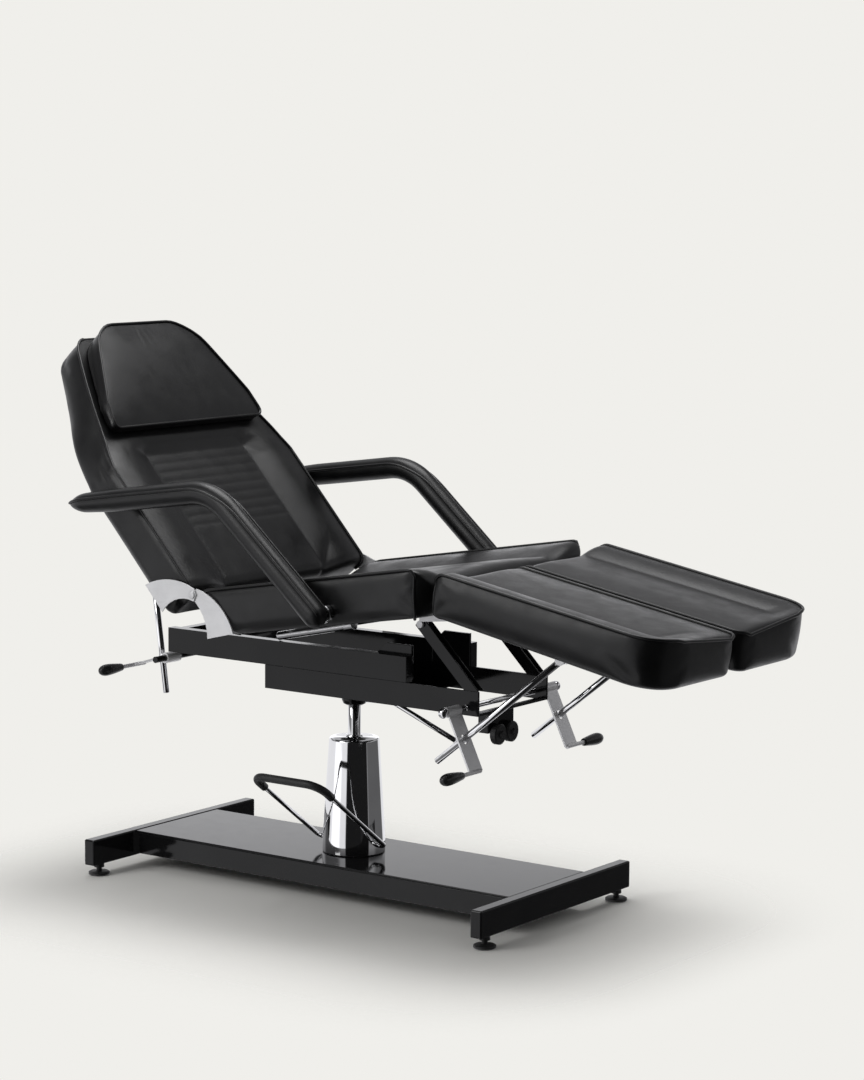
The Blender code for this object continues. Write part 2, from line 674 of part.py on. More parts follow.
# Rods, jam plates and knobs
def jam_rod(name, eye, through, length, y, pivot):
    """A rod hung on the pad's pin, running through its jam plate."""
    wide = JAM_EYE_WIDTH / 2.0
    bar = cylinder(spot(eye, y), spot(along(eye, through, length), y), JAM_ROD_RADIUS)
    rod = add(name, "chrome", bar, pivot, smooth=True)
    join(rod, f"join_{name}", across(eye, y - wide, y + wide, JAM_EYE_RADIUS))
    cut(rod, f"cut_{name}", across(eye, y - 0.02, y + 0.02, JAM_PIN_RADIUS + PIN_CLEARANCE, 20))


def jam_plate(name, bar, bar_radius, through, end, y, knob_y, pivot):
    """A strip that curls round a cross bar, with a long hole for the rod and a handle at its end."""
    run = (Vector(end) - Vector(through)).normalized()
    face = Vector((-run[1], run[0]))
    start = Vector(through) + run * (Vector(bar) - Vector(through)).dot(run)
    thick = face * JAM_SHEET / 2.0
    tail = Vector(end)
    outline = [tuple(p) for p in (start - thick, tail - thick, tail + thick, start + thick)]
    wide = JAM_WIDTH / 2.0
    knuckle = across(bar, y - wide, y + wide, bar_radius + JAM_KNUCKLE)
    plate = add(name, "satin_steel", knuckle, pivot, smooth=True)
    join(plate, f"join_{name}_strip", prism(outline, y - wide + 0.0005, y + wide - 0.0005))
    turn = 1.0 if knob_y > y else -1.0
    handle_start = y - turn * (wide - 0.006)
    handle_end = knob_y + turn * KNOB_SOCKET
    handle = cylinder(spot(end, handle_start), spot(end, handle_end), HANDLE_RADIUS, 20)
    join(plate, f"join_{name}_handle", handle)
    cut(plate, f"cut_{name}_bar", across(bar, y - 0.04, y + 0.04, bar_radius + PIN_CLEARANCE))
    straight = JAM_HOLE_HALF_LENGTH - JAM_HOLE_HALF_WIDTH
    ring = []
    for i in range(24):
        angle = 2.0 * math.pi * (i + 0.5) / 24.0
        reach = JAM_HOLE_HALF_WIDTH * math.sin(angle) + math.copysign(straight, math.sin(angle))
        ring.append((reach, y + JAM_HOLE_HALF_WIDTH * math.cos(angle)))
    rows = []
    for lift in (-0.012, 0.012):
        rows.append([spot(Vector(through) + run * reach + face * lift, at) for reach, at in ring])
    cut(plate, f"cut_{name}_hole", skin(rows))
    knob_profile = (
        (0.0, KNOB_SOCKET + GAP),
        (HANDLE_RADIUS + PIN_CLEARANCE, KNOB_SOCKET + GAP),
        (HANDLE_RADIUS + PIN_CLEARANCE, 0.0),
        (KNOB_RADIUS * 0.66, 0.0),
        (KNOB_RADIUS * 0.76, KNOB_LENGTH * 0.22),
        (KNOB_RADIUS * 0.95, KNOB_LENGTH * 0.52),
        (KNOB_RADIUS, KNOB_LENGTH * 0.70),
        (KNOB_RADIUS * 0.88, KNOB_LENGTH * 0.87),
        (KNOB_RADIUS * 0.50, KNOB_LENGTH * 0.97),
        (0.0, KNOB_LENGTH),
    )
    knob = lathe(knob_profile, spot(end, knob_y), (0.0, turn, 0.0))
    add(name.replace("jam_plate", "release_knob"), "black_rubber", knob, pivot, smooth=True)


def cheeks(target, name, outline, y):
    """Two flat cheeks, one either side of a rod eye or a hinge ear."""
    for label, turn in (("a", 1.0), ("b", -1.0)):
        ys = sorted((y + turn * CHEEK_INNER, y + turn * (CHEEK_INNER + CHEEK_SHEET)))
        join(target, f"join_{name}_cheek_{label}", prism(outline, ys[0], ys[1]))


def eye_pin(target, name, eye, y):
    """The pin that carries a rod eye between its cheeks."""
    reach = CHEEK_INNER + CHEEK_SHEET - 0.0004
    join(target, f"join_{name}_pin", across(eye, y - reach, y + reach, JAM_PIN_RADIUS, 20))


hinge_bar = across(LEG_HINGE, -LEG_ROD_Y - 0.020, LEG_ROD_Y + 0.020, LEG_HINGE_RADIUS, 20)
hinge_bar = add("leg_hinge_bar", "satin_steel", hinge_bar, smooth=True)
ear_outline = [(EAR_REACH[0], seat_bottom(EAR_REACH[0]) - EAR_DEPTH)]
ear_outline += [(x, seat_bottom(x) - GAP) for x in EAR_REACH]
ear_outline += arc(LEG_HINGE, EAR_EYE_RADIUS, 80.0, -90.0, 8)
tops = [(x, leg_bottom(x) - GAP) for x in BRACKET_REACH]
strap_outline = tops + [(x, z - CHEEK_SHEET) for x, z in reversed(tops)]
hinge_cheek = [(x, leg_bottom(x) - GAP - 0.001) for x in (BRACKET_REACH[0], BRACKET_REACH[0] + HINGE_CHEEK)]
hinge_cheek += arc(LEG_HINGE, CHEEK_EYE_RADIUS, -60.0, -260.0, 10)
rod_cheek = [(x, leg_bottom(x) - GAP - 0.001) for x in (LEG_EYE[0] - ROD_CHEEK, LEG_EYE[0] + ROD_CHEEK)]
rod_cheek += arc(LEG_EYE, CHEEK_EYE_RADIUS, -10.0, -170.0, 10)
for side, sign in SIDES:
    y = sign * LEG_ROD_Y
    join(hinge_bar, f"join_leg_hinge_{side}", prism(ear_outline, y - EAR_HALF_WIDTH, y + EAR_HALF_WIDTH))
    name = f"leg_bracket_{side}"
    strap = prism(strap_outline, y - BRACKET_HALF_WIDTH, y + BRACKET_HALF_WIDTH)
    bracket = add(name, "satin_steel", strap, spot(LEG_HINGE))
    cheeks(bracket, f"{name}_hinge", hinge_cheek, y)
    cheeks(bracket, f"{name}_rod", rod_cheek, y)
    eye_pin(bracket, name, LEG_EYE, y)
    hole = across(LEG_HINGE, y - 0.03, y + 0.03, LEG_HINGE_RADIUS + PIN_CLEARANCE, 20)
    cut(bracket, f"cut_{name}", hole)
    jam_rod(f"leg_rod_{side}", LEG_EYE, LEG_JAM, LEG_ROD_LENGTH, y, spot(LEG_EYE))
    knob_y = sign * LEG_KNOB_Y
    jam_plate(f"leg_jam_plate_{side}", FRONT_ROD, FRONT_ROD_RADIUS, LEG_JAM, LEG_JAM_END, y, knob_y,
              spot(FRONT_ROD))

base_low, base_high = BACK_BRACKET_REACH
back_face = -BACK_DEPTH - GAP
base_outline = (
    back_point(base_low, back_face),
    back_point(base_high, back_face),
    back_point(base_high, back_face - 0.003),
    back_point(base_low, back_face - 0.003),
)
back_cheek = [
    back_point(base_low + 0.015, back_face - 0.001),
    back_point(base_high - 0.010, back_face - 0.001),
]
lean_deg = math.degrees(BACK_LEAN)
back_cheek += arc(BACK_EYE, CHEEK_EYE_RADIUS, 180.0 - lean_deg, 360.0 - lean_deg, 10)
bracket = prism(base_outline, BACK_ROD_Y - BACK_BRACKET_HALF_WIDTH, BACK_ROD_Y + BACK_BRACKET_HALF_WIDTH)
bracket = add("back_bracket", "satin_steel", bracket, spot(BACK_HINGE))
cheeks(bracket, "back_bracket", back_cheek, BACK_ROD_Y)
eye_pin(bracket, "back_bracket", BACK_EYE, BACK_ROD_Y)
jam_rod("back_rod", BACK_EYE, BACK_JAM, BACK_ROD_LENGTH, BACK_ROD_Y, spot(BACK_EYE))
jam_plate("back_jam_plate", REAR_BAR, REAR_BAR_RADIUS, BACK_JAM, BACK_JAM_END, BACK_ROD_Y, BACK_KNOB_Y,
          spot(REAR_BAR))

# Side plates of the back hinge, with the rivet on the seat's plate
rivet_foot = PLATE_SHEET + 3.0 * GAP
rivet_profile = (
    (0.0, -PLATE_SHEET / 2.0),
    (RIVET_RADIUS, -PLATE_SHEET / 2.0),
    (RIVET_RADIUS, rivet_foot),
    (RIVET_HEAD_RADIUS, rivet_foot),
    (RIVET_HEAD_RADIUS - 0.001, rivet_foot + RIVET_HEAD * 0.7),
    (0.0, rivet_foot + RIVET_HEAD),
)
back_plate_outline = arc_through(*BACK_PLATE_TOP, 8) + [BACK_PLATE_NOSE] + arc_through(*BACK_PLATE_UNDER, 7)
seat_plate_outline = arc_through(*SEAT_PLATE_TOP, 8) + arc_through(*SEAT_PLATE_UNDER, 6)
for side, sign in SIDES:
    seat_in = SEAT_HALF_WIDTH + PLATE_STANDOFF
    seat_out = seat_in + PLATE_SHEET
    ys = sorted((sign * seat_in, sign * seat_out))
    plate = add(f"seat_plate_{side}", "satin_steel", prism(seat_plate_outline, ys[0], ys[1]))
    rivet = lathe(rivet_profile, spot(BACK_HINGE, sign * seat_out), (0.0, sign, 0.0), 20)
    join(plate, f"join_seat_plate_{side}", rivet)
    ys = sorted((sign * (seat_out + GAP), sign * (seat_out + GAP + PLATE_SHEET)))
    plate = add(f"back_plate_{side}", "satin_steel", prism(back_plate_outline, *ys), spot(BACK_HINGE))
    hole = across(BACK_HINGE, ys[0] - 0.01, ys[1] + 0.01, RIVET_RADIUS + PIN_CLEARANCE, 20)
    cut(plate, f"cut_back_plate_{side}", hole)

# Upholstery sections: a flat bottom, sides drawn in towards both seams, and a shaped top
PAD_BOTTOM = (-0.94, 0.0, 0.94)
PAD_SIDE = ((0.04, 0.005), (0.20, 0.0), (0.78, 0.0015), (0.93, 0.006))
PAD_TOP = (0.96, 0.89, 0.80, 0.71, 0.63, 0.57, 0.40, 0.20, 0.0)
PAD_TOP = PAD_TOP + tuple(-t for t in reversed(PAD_TOP[:-1]))
END_STEPS = ((-0.004, 0.034), (0.0, 0.012), (0.003, 0.006), (0.009, 0.002), (0.020, 0.0))
END_INSET = 0.034


def mix(a, b, k):
    return a + (b - a) * k


def read_table(pairs, x):
    """Straight-line reading between the listed pairs."""
    for (x0, y0), (x1, y1) in zip(pairs, pairs[1:]):
        if x <= x1:
            return mix(y0, y1, (x - x0) / (x1 - x0))
    return pairs[-1][1]


def corner_drop(s, length, rear, front):
    """How far a side edge draws in at a rounded corner."""
    near = max(0.0, min(s, length - s))
    radius = rear if s < length / 2.0 else front
    if near >= radius:
        return 0.0
    return radius - math.sqrt(radius ** 2 - (radius - near) ** 2)


def stations(length, between, share=1.0):
    """Places along a pad with the inset of each: both rounded ends and the listed places between."""
    ends = [(s * share, inset * share) for s, inset in END_STEPS]
    rows = list(ends)
    rows += [(s, 0.0) for s in between]
    rows += [(length - s, inset) for s, inset in reversed(ends)]
    return rows


def pad(name, pivot, depth, rows, place, edges, top, sign=1.0):
    """Skins the sections of one cushion; a sign of -1 makes the mirror twin."""
    rings = []
    for s, inset in rows:
        inner, outer = edges(s)
        middle = (inner + outer) / 2.0
        half = (outer - inner) / 2.0 - inset
        low = min(inset / depth, 0.38)
        high = 1.0 - low
        ease = 1.0 - inset / END_INSET
        sides = [(half - draw, mix(low, high, k), 0.0) for k, draw in PAD_SIDE]
        ring = [(t * half, low, 0.0) for t in PAD_BOTTOM]
        ring += sides
        ring += [(t * half, high, top(t, s) * ease) for t in PAD_TOP]
        ring += [(-y, k, lift) for y, k, lift in reversed(sides)]
        rings.append([spot(place(s, k, lift), sign * (middle + y)) for y, k, lift in ring])
    add(name, "black_vinyl", skin(rings), pivot, smooth=True)


def corner_place(corners):
    """Maps a place along a pad, a share of its depth and a lift to X and Z."""
    rear_low, front_low, rear_high, front_high = (Vector(c) for c in corners)
    length = (front_high - rear_high).length
    run = (front_high - rear_high).normalized()
    face = Vector((-run[1], run[0]))

    def place(s, k, lift):
        low = mix(rear_low, front_low, s / length)
        high = mix(rear_high, front_high, s / length)
        return mix(low, high, k) + face * lift

    return length, place


def roll(t, start, end):
    """A rounded hump between two places across a pad."""
    if t <= start or t >= end:
        return 0.0
    return math.sin(math.pi * (t - start) / (end - start))


# Seat cushion
seat_length, seat_place = corner_place(SEAT_CORNERS)


def seat_edges(s):
    drop = corner_drop(s, seat_length, 0.025, 0.025)
    return (-SEAT_HALF_WIDTH + drop, SEAT_HALF_WIDTH - drop)


def seat_top(t, s):
    across_t = abs(t)
    if across_t > 0.61:
        return -0.010 + 0.009 * roll(across_t, 0.56, 1.06)
    dish = -0.020 + 0.008 * math.cos(across_t / 0.61 * math.pi / 2.0)
    return dish if across_t < 0.58 else -0.022


seat_rows = stations(seat_length, [seat_length * k for k in (0.12, 0.22, 0.35, 0.5, 0.65, 0.78, 0.88)])
pad("seat_cushion", (0.0, 0.0, 0.0), 0.096, seat_rows, seat_place, seat_edges, seat_top)

# Leg pads
leg_length, leg_place = corner_place(LEG_CORNERS)


def leg_top(t, s):
    """Shape across a leg pad, from its inner edge at -1 to its outer edge at 1."""
    base = mix(0.0, -LEG_DISH, (1.0 - t) / 2.0)
    if t > 0.42:
        return base - 0.004 + 0.007 * roll(t, 0.30, 1.10)
    dish = 0.006 * math.cos((t + 0.3) / 0.75 * math.pi / 2.0) if t < 0.40 else 0.0
    return base - 0.008 + dish


def leg_edges(s):
    inner = LEG_INNER_Y + corner_drop(s, leg_length, 0.020, LEG_INNER_CORNER)
    outer = LEG_OUTER_Y - corner_drop(s, leg_length, 0.030, LEG_OUTER_CORNER)
    return (inner, outer)


leg_between = [leg_length * k for k in (0.10, 0.22, 0.38, 0.55, 0.70)]
leg_between += [leg_length - back for back in (0.085, 0.060, 0.038)]
leg_rows = stations(leg_length, leg_between)
for side, sign in SIDES:
    pad(f"leg_pad_{side}", spot(LEG_HINGE), 0.095, leg_rows, leg_place, leg_edges, leg_top, sign)

# Back cushion
channel_step = (BACK_CHANNEL_LAST - BACK_CHANNEL_FIRST) / (BACK_CHANNELS - 1)
channels = [BACK_CHANNEL_FIRST + channel_step * i for i in range(BACK_CHANNELS)]
back_run = BACK_LENGTH - BACK_START


def back_place(s, k, lift):
    thin = BACK_THINNING * max(0.0, (s - BACK_THIN_START) / (back_run - BACK_THIN_START)) ** 1.3
    return back_point(BACK_START + s, mix(-BACK_DEPTH + thin, 0.0, k) + lift)


def back_edges(s):
    half = SEAT_HALF_WIDTH - read_table(BACK_NARROWING, BACK_START + s)
    half -= corner_drop(s, back_run, 0.020, 0.035)
    return (-half, half)


def back_top(t, s):
    rise = BACK_START + s
    across_t = abs(t)
    full = min(1.0, max(0.0, (PILLOW_START - 0.010 - rise) / 0.050))
    if across_t > 0.57:
        shape = -0.006 + 0.019 * roll(across_t, 0.52, 1.06)
    elif across_t > 0.5:
        shape = -0.018
    else:
        shape = -0.010
        if min(abs(rise - place) for place in channels) < 0.001:
            shape -= BACK_CHANNEL_DEPTH
    return shape * full - PILLOW_SEAT


back_between = [rise - BACK_START for rise in (0.045, 0.120)]
for place in channels:
    back_between += [place - BACK_START - channel_step / 2.0, place - BACK_START]
back_between += [rise - BACK_START for rise, narrowing in BACK_NARROWING[4:7]]
back_rows = stations(back_run, back_between)
pad("back_cushion", spot(BACK_HINGE), BACK_DEPTH, back_rows, back_place, back_edges, back_top)


# Head pillow, lying on the front of the back cushion
def pillow_place(s, k, lift):
    return back_point(PILLOW_START + s, mix(GAP - PILLOW_SEAT, PILLOW_THICK, k) + lift)


def pillow_edges(s):
    half = SEAT_HALF_WIDTH - read_table(PILLOW_NARROWING, s)
    half -= corner_drop(s, PILLOW_LENGTH, 0.020, 0.035)
    return (-half, half)


def pillow_top(t, s):
    length_share = min(1.0, max(0.0, s / PILLOW_LENGTH))
    return 0.014 * (1.0 - t * t) * math.sin(math.pi * length_share) ** 0.6


pillow_rows = stations(PILLOW_LENGTH, [PILLOW_LENGTH * i / 8.0 for i in range(1, 8)], PILLOW_END_SHARE)
pad("pillow", spot(BACK_HINGE), PILLOW_THICK, pillow_rows, pillow_place, pillow_edges, pillow_top)

# Armrests, bent padded bars turning on a bolt through the seat's side
arm_face = SEAT_HALF_WIDTH + ARM_DISC + 2.0 * GAP
arm_y = arm_face + ARM_HALF_WIDTH
arm_start = along(ARM_PIVOT, ARM_CORNER, -ARM_HALF_HEIGHT)
arm_path = bend([spot(p) for p in (arm_start, ARM_CORNER, ARM_TAPER, ARM_TIP)], (ARM_BEND, 0.40), 10)
arm_steps = [0.0]
for a, b in zip(arm_path, arm_path[1:]):
    arm_steps.append(arm_steps[-1] + (b - a).length)
arm_length = arm_steps[-1]


def arm_spot(distance):
    for i in range(len(arm_path) - 1):
        if distance <= arm_steps[i + 1] or i == len(arm_path) - 2:
            run = arm_path[i + 1] - arm_path[i]
            return arm_path[i] + run * ((distance - arm_steps[i]) / run.length)
    return arm_path[-1]


arm_places = [0.0006, 0.004, 0.010, 0.017, ARM_HALF_HEIGHT]
arm_places += [mix(0.060, arm_length - 0.130, i / 12.0) for i in range(13)]
arm_places += [arm_length - d for d in (0.085, 0.045, 0.018, 0.006, 0.0008)]
bolt_end = arm_face + ARM_BOLT_DEPTH
bolt_profile = (
    (0.0, SEAT_HALF_WIDTH + GAP),
    (ARM_DISC_RADIUS - 0.002, SEAT_HALF_WIDTH + GAP),
    (ARM_DISC_RADIUS, SEAT_HALF_WIDTH + GAP + 0.002),
    (ARM_DISC_RADIUS, arm_face - GAP - 0.002),
    (ARM_DISC_RADIUS - 0.002, arm_face - GAP),
    (ARM_BOLT_RADIUS, arm_face - GAP),
    (ARM_BOLT_RADIUS, bolt_end),
    (0.0, bolt_end),
)
for side, sign in SIDES:
    rings = []
    for d in arm_places:
        run = (arm_spot(min(d + 0.004, arm_length)) - arm_spot(max(d - 0.004, 0.0))).normalized()
        face = Vector((-run.z, 0.0, run.x))
        high = ARM_HALF_HEIGHT
        if d < ARM_HALF_HEIGHT:
            high = math.sqrt(ARM_HALF_HEIGHT ** 2 - (ARM_HALF_HEIGHT - d) ** 2)
        left = arm_length - d
        taper = mix(0.66, 1.0, min(1.0, left / 0.130))
        rounding = math.sqrt(1.0 - (1.0 - min(1.0, left / 0.018)) ** 2) if left < 0.018 else 1.0
        high *= taper * max(0.25, rounding)
        wide = ARM_HALF_WIDTH * mix(0.80, 1.0, min(1.0, left / 0.130)) * max(0.35, rounding)
        if d < 0.010:
            wide *= 0.93
        ring = []
        for i in range(20):
            angle = 2.0 * math.pi * (i + 0.5) / 20.0
            c, n = math.cos(angle), math.sin(angle)
            y = wide * math.copysign(abs(c) ** 0.62, c)
            lift = high * math.copysign(abs(n) ** 0.62, n)
            ring.append(arm_spot(d) + face * lift + Vector((0.0, sign * arm_y + y, 0.0)))
        rings.append(ring)
    pivot = spot(ARM_PIVOT, sign * arm_y)
    arm = add(f"armrest_{side}", "black_vinyl", skin(rings), pivot, smooth=True)
    ys = sorted((sign * (arm_face - 0.010), sign * (bolt_end + PIN_CLEARANCE)))
    hole = across(ARM_PIVOT, ys[0], ys[1], ARM_BOLT_RADIUS + PIN_CLEARANCE, 20)
    cut(arm, f"cut_armrest_{side}", hole)
    bolt = lathe(bolt_profile, spot(ARM_PIVOT), (0.0, sign, 0.0))
    add(f"arm_pivot_{side}", "chrome", bolt, smooth=True)

# Stand the middle of the chair's box over the origin
reach = []
for piece in bpy.data.objects:
    if not piece.hide_render:
        reach += [piece.location.x + vert.co.x for vert in piece.data.vertices]
middle_x = (min(reach) + max(reach)) / 2.0
for piece in bpy.data.objects:
    piece.location.x -= middle_x
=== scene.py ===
"""Looks of the podiatry chair: upholstery, finishes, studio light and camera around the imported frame."""
import json
import math
from functools import reduce

import bmesh
import bpy
import numpy as np
from mathutils import Euler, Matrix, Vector


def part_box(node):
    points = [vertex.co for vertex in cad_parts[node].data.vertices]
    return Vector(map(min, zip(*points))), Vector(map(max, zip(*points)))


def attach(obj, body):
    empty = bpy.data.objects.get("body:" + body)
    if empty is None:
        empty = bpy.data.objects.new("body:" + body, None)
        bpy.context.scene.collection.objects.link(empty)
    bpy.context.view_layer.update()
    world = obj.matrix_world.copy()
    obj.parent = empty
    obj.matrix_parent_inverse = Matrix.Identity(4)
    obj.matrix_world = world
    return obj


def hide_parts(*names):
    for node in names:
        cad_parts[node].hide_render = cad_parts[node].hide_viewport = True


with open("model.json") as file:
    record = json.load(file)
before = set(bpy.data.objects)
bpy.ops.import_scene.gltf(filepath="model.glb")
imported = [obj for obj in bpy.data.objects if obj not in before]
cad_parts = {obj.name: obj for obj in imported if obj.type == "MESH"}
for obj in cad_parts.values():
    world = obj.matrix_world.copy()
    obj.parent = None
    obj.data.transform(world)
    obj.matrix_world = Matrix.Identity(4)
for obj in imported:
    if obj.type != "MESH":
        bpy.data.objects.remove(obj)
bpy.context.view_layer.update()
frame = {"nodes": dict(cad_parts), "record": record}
scene = bpy.context.scene

# Sizes are in metres, and places are X and Z pairs measured from the pump's axis
pump_low, pump_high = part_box("pump_cover")
AXIS_X = (pump_low.x + pump_high.x) / 2.0
SIDES = (("right", -1.0), ("left", 1.0))
FRAME_HALF = 0.3


# Node materials
def new_node(tree, kind, sockets=None, **settings):
    """A shader node with its settings, and its sockets set or linked."""
    made = tree.nodes.new(kind)
    for key, value in settings.items():
        setattr(made, key, value)
    for key, value in (sockets or {}).items():
        if isinstance(value, bpy.types.NodeSocket):
            tree.links.new(value, made.inputs[key])
        else:
            made.inputs[key].default_value = value
    return made


def map_range(tree, source, start, end, low=0.0, high=1.0, shape="SMOOTHSTEP"):
    """A number carried from one range to another and held at both ends."""
    sockets = {"Value": source, "From Min": start, "From Max": end, "To Min": low, "To Max": high}
    return new_node(tree, "ShaderNodeMapRange", sockets, interpolation_type=shape).outputs["Result"]


class Finish:
    """A Principled material with its node tree, built step by step."""

    def __init__(self, name, colour, rough, metal=0.0, specular=0.5):
        self.mat = bpy.data.materials.new(name)
        self.mat.use_nodes = True
        self.tree = self.mat.node_tree
        self.shader = self.tree.nodes["Principled BSDF"]
        for socket, value in (("Base Color", (*colour, 1.0)), ("Roughness", rough), ("Metallic", metal),
                              ("Specular IOR Level", specular)):
            self.shader.inputs[socket].default_value = value
        self.where = self.tree.nodes.new("ShaderNodeTexCoord").outputs["Object"]
        self.normal = None

    def link(self, source, socket):
        self.tree.links.new(source, self.shader.inputs[socket])

    def noise(self, scale, detail=4.0, stretch=None):
        where = self.where
        if stretch:
            sockets = {"Vector": where, "Scale": stretch}
            where = new_node(self.tree, "ShaderNodeMapping", sockets).outputs["Vector"]
        sockets = {"Vector": where, "Scale": scale, "Detail": detail, "Roughness": 0.55}
        return new_node(self.tree, "ShaderNodeTexNoise", sockets).outputs["Fac"]

    def ramp(self, source, low, high, start=0.35, end=0.65):
        return map_range(self.tree, source, start, end, low, high, "LINEAR")

    def tint(self, source, low, high):
        made = new_node(self.tree, "ShaderNodeMix", {"Factor": self.ramp(source, 0.0, 1.0)}, data_type="RGBA")
        colours = [socket for socket in made.inputs if socket.type == "RGBA"]
        for socket, colour in zip(colours, (low, high)):
            socket.default_value = (*colour, 1.0)
        self.link(next(socket for socket in made.outputs if socket.type == "RGBA"), "Base Color")

    def roughness(self, source, low, high):
        self.link(self.ramp(source, low, high), "Roughness")

    def bump(self, source, distance, strength):
        sockets = {"Height": source, "Distance": distance, "Strength": strength}
        if self.normal is not None:
            sockets["Normal"] = self.normal
        self.normal = new_node(self.tree, "ShaderNodeBump", sockets).outputs["Normal"]
        self.link(self.normal, "Normal")

    def soft_edges(self, radius):
        self.normal = new_node(self.tree, "ShaderNodeBevel", {"Radius": radius}, samples=4).outputs["Normal"]
        self.link(self.normal, "Normal")


def vinyl_finish(name, rough, grain):
    made = Finish(name, (0.005, 0.005, 0.0053), rough, specular=0.34)
    made.tint(made.noise(scale=6.0, detail=3.0), (0.0040, 0.0040, 0.0043), (0.0060, 0.0060, 0.0064))
    made.roughness(made.noise(scale=22.0, detail=5.0), rough - 0.05, rough + 0.06)
    made.bump(made.noise(scale=14.0, detail=2.0), distance=0.0016, strength=0.20)
    pores = new_node(made.tree, "ShaderNodeTexVoronoi", {"Vector": made.where, "Scale": 720.0},
                     feature="DISTANCE_TO_EDGE").outputs["Distance"]
    made.bump(made.ramp(pores, 0.0, 1.0, start=0.0, end=0.12), distance=0.00012, strength=grain)
    return made.mat


def paint_finish():
    made = Finish("gloss_black_paint", (0.005, 0.005, 0.0055), 0.14, specular=0.20)
    made.soft_edges(0.0012)
    made.tint(made.noise(scale=9.0), (0.005, 0.005, 0.0055), (0.009, 0.009, 0.0095))
    made.roughness(made.noise(scale=30.0, detail=5.0), 0.07, 0.11)
    made.bump(made.noise(scale=260.0, detail=2.0), distance=0.00003, strength=0.30)
    return made.mat


def chrome_finish(name, edge):
    made = Finish(name, (0.83, 0.83, 0.84), 0.05, metal=1.0)
    if edge:
        made.soft_edges(edge)
    made.tint(made.noise(scale=12.0), (0.80, 0.80, 0.81), (0.86, 0.86, 0.87))
    made.roughness(made.noise(scale=60.0, detail=6.0), 0.035, 0.075)
    made.bump(made.noise(scale=9.0, detail=1.0), distance=0.0004, strength=0.10)
    return made.mat


def steel_finish(name, metal, low, high):
    made = Finish(name, low, 0.40, metal=metal)
    made.soft_edges(0.0008)
    made.tint(made.noise(scale=16.0), low, high)
    streaks = made.noise(scale=40.0, detail=6.0, stretch=(1.0, 14.0, 14.0))
    made.roughness(streaks, 0.34, 0.46)
    made.bump(streaks, distance=0.00010, strength=0.25)
    return made.mat


def rubber_finish(name, rough):
    made = Finish(name, (0.014, 0.014, 0.0145), rough, specular=0.45)
    made.tint(made.noise(scale=25.0), (0.011, 0.011, 0.0115), (0.019, 0.019, 0.0195))
    made.roughness(made.noise(scale=70.0, detail=5.0), rough - 0.06, rough + 0.07)
    made.bump(made.noise(scale=420.0, detail=3.0), distance=0.00016, strength=0.30)
    return made.mat


VINYL = vinyl_finish("black_vinyl_cloth", rough=0.34, grain=0.20)
PIPING = vinyl_finish("black_vinyl_piping", rough=0.36, grain=0.10)
RUBBER = rubber_finish("black_rubber_grip", rough=0.52)
FINISHES = {
    "black_vinyl": VINYL,
    "black_paint": paint_finish(),
    "chrome": chrome_finish("mirror_chrome", edge=0.0015),
    "satin_steel": steel_finish("satin_zinc_steel", 0.42, (0.69, 0.69, 0.70), (0.77, 0.77, 0.78)),
    "black_rubber": RUBBER,
}
FINE_CHROME = chrome_finish("fine_mirror_chrome", edge=0.0)
KNOB = rubber_finish("black_knob_plastic", rough=0.30)
BRIGHT_STEEL = steel_finish("bright_zinc_steel", 0.60, (0.74, 0.74, 0.75), (0.82, 0.82, 0.83))
for subpart in frame["record"]["subparts"]:
    look = FINISHES[subpart["material_slot"]]
    if "knob" in subpart["node"]:
        look = KNOB
    elif "jam_plate" in subpart["node"]:
        look = BRIGHT_STEEL
    looks = frame["nodes"][subpart["node"]].data.materials
    looks.clear()
    looks.append(look)


# Numbers and marks
STEP = 0.0062
TINY = 1e-6
END_BOW = (0.0, 0.035, 0.13, 0.30, 0.55, 1.0)
ROLL_EDGE = 0.93


def clamp(v):
    return min(1.0, max(0.0, v))


def mix(a, b, k):
    return a + (b - a) * k


def ease(v):
    v = clamp(v)
    return v * v * (3.0 - 2.0 * v)


def hump(v):
    return math.sin(math.pi * v)


def drop(s, length, rear, front):
    """How far an edge draws in at a rounded corner of a given radius at either end."""
    near = max(0.0, min(s, length - s))
    radius = rear if s < length / 2.0 else front
    if near >= radius:
        return 0.0
    return radius - math.sqrt(radius ** 2 - (radius - near) ** 2)


def spaced(marks, step=STEP):
    """Places through every mark, evenly spread between marks at about one step."""
    found = [marks[0]]
    for a, b in zip(marks, marks[1:]):
        count = max(1, round((b - a) / step))
        found += [mix(a, b, i / count) for i in range(1, count + 1)]
    return found


def ends(length, rear, front, middle=()):
    """Places along a pad, close together where its ends turn round."""
    start, stop = [rear * k for k in END_BOW], [length - front * k for k in reversed(END_BOW)]
    return spaced(start + list(middle) + stop)


def across(roll, half):
    """Places across a pad with a bolster along each side, from -1 to 1."""
    return spaced((-1.0, -ROLL_EDGE, -roll, 0.0, roll, ROLL_EDGE, 1.0), STEP / half)


def nearest(values, wanted):
    return min(range(len(values)), key=lambda j: abs(values[j] - wanted))


# Meshes
def solid(name, verts, faces):
    mesh = bpy.data.meshes.new(name)
    mesh.from_pydata([tuple(v) for v in verts], [], [tuple(int(i) for i in f) for f in faces])
    bm = bmesh.new()
    bm.from_mesh(mesh)
    bmesh.ops.recalc_face_normals(bm, faces=bm.faces)
    bm.to_mesh(mesh)
    bm.free()
    mesh.polygons.foreach_set("use_smooth", [True] * len(mesh.polygons))
    made = bpy.data.objects.new(name, mesh)
    scene.collection.objects.link(made)
    return made


def read(obj, what="co"):
    found = np.zeros(len(obj.data.vertices) * 3)
    obj.data.vertices.foreach_get(what, found)
    return found.reshape(-1, 3)


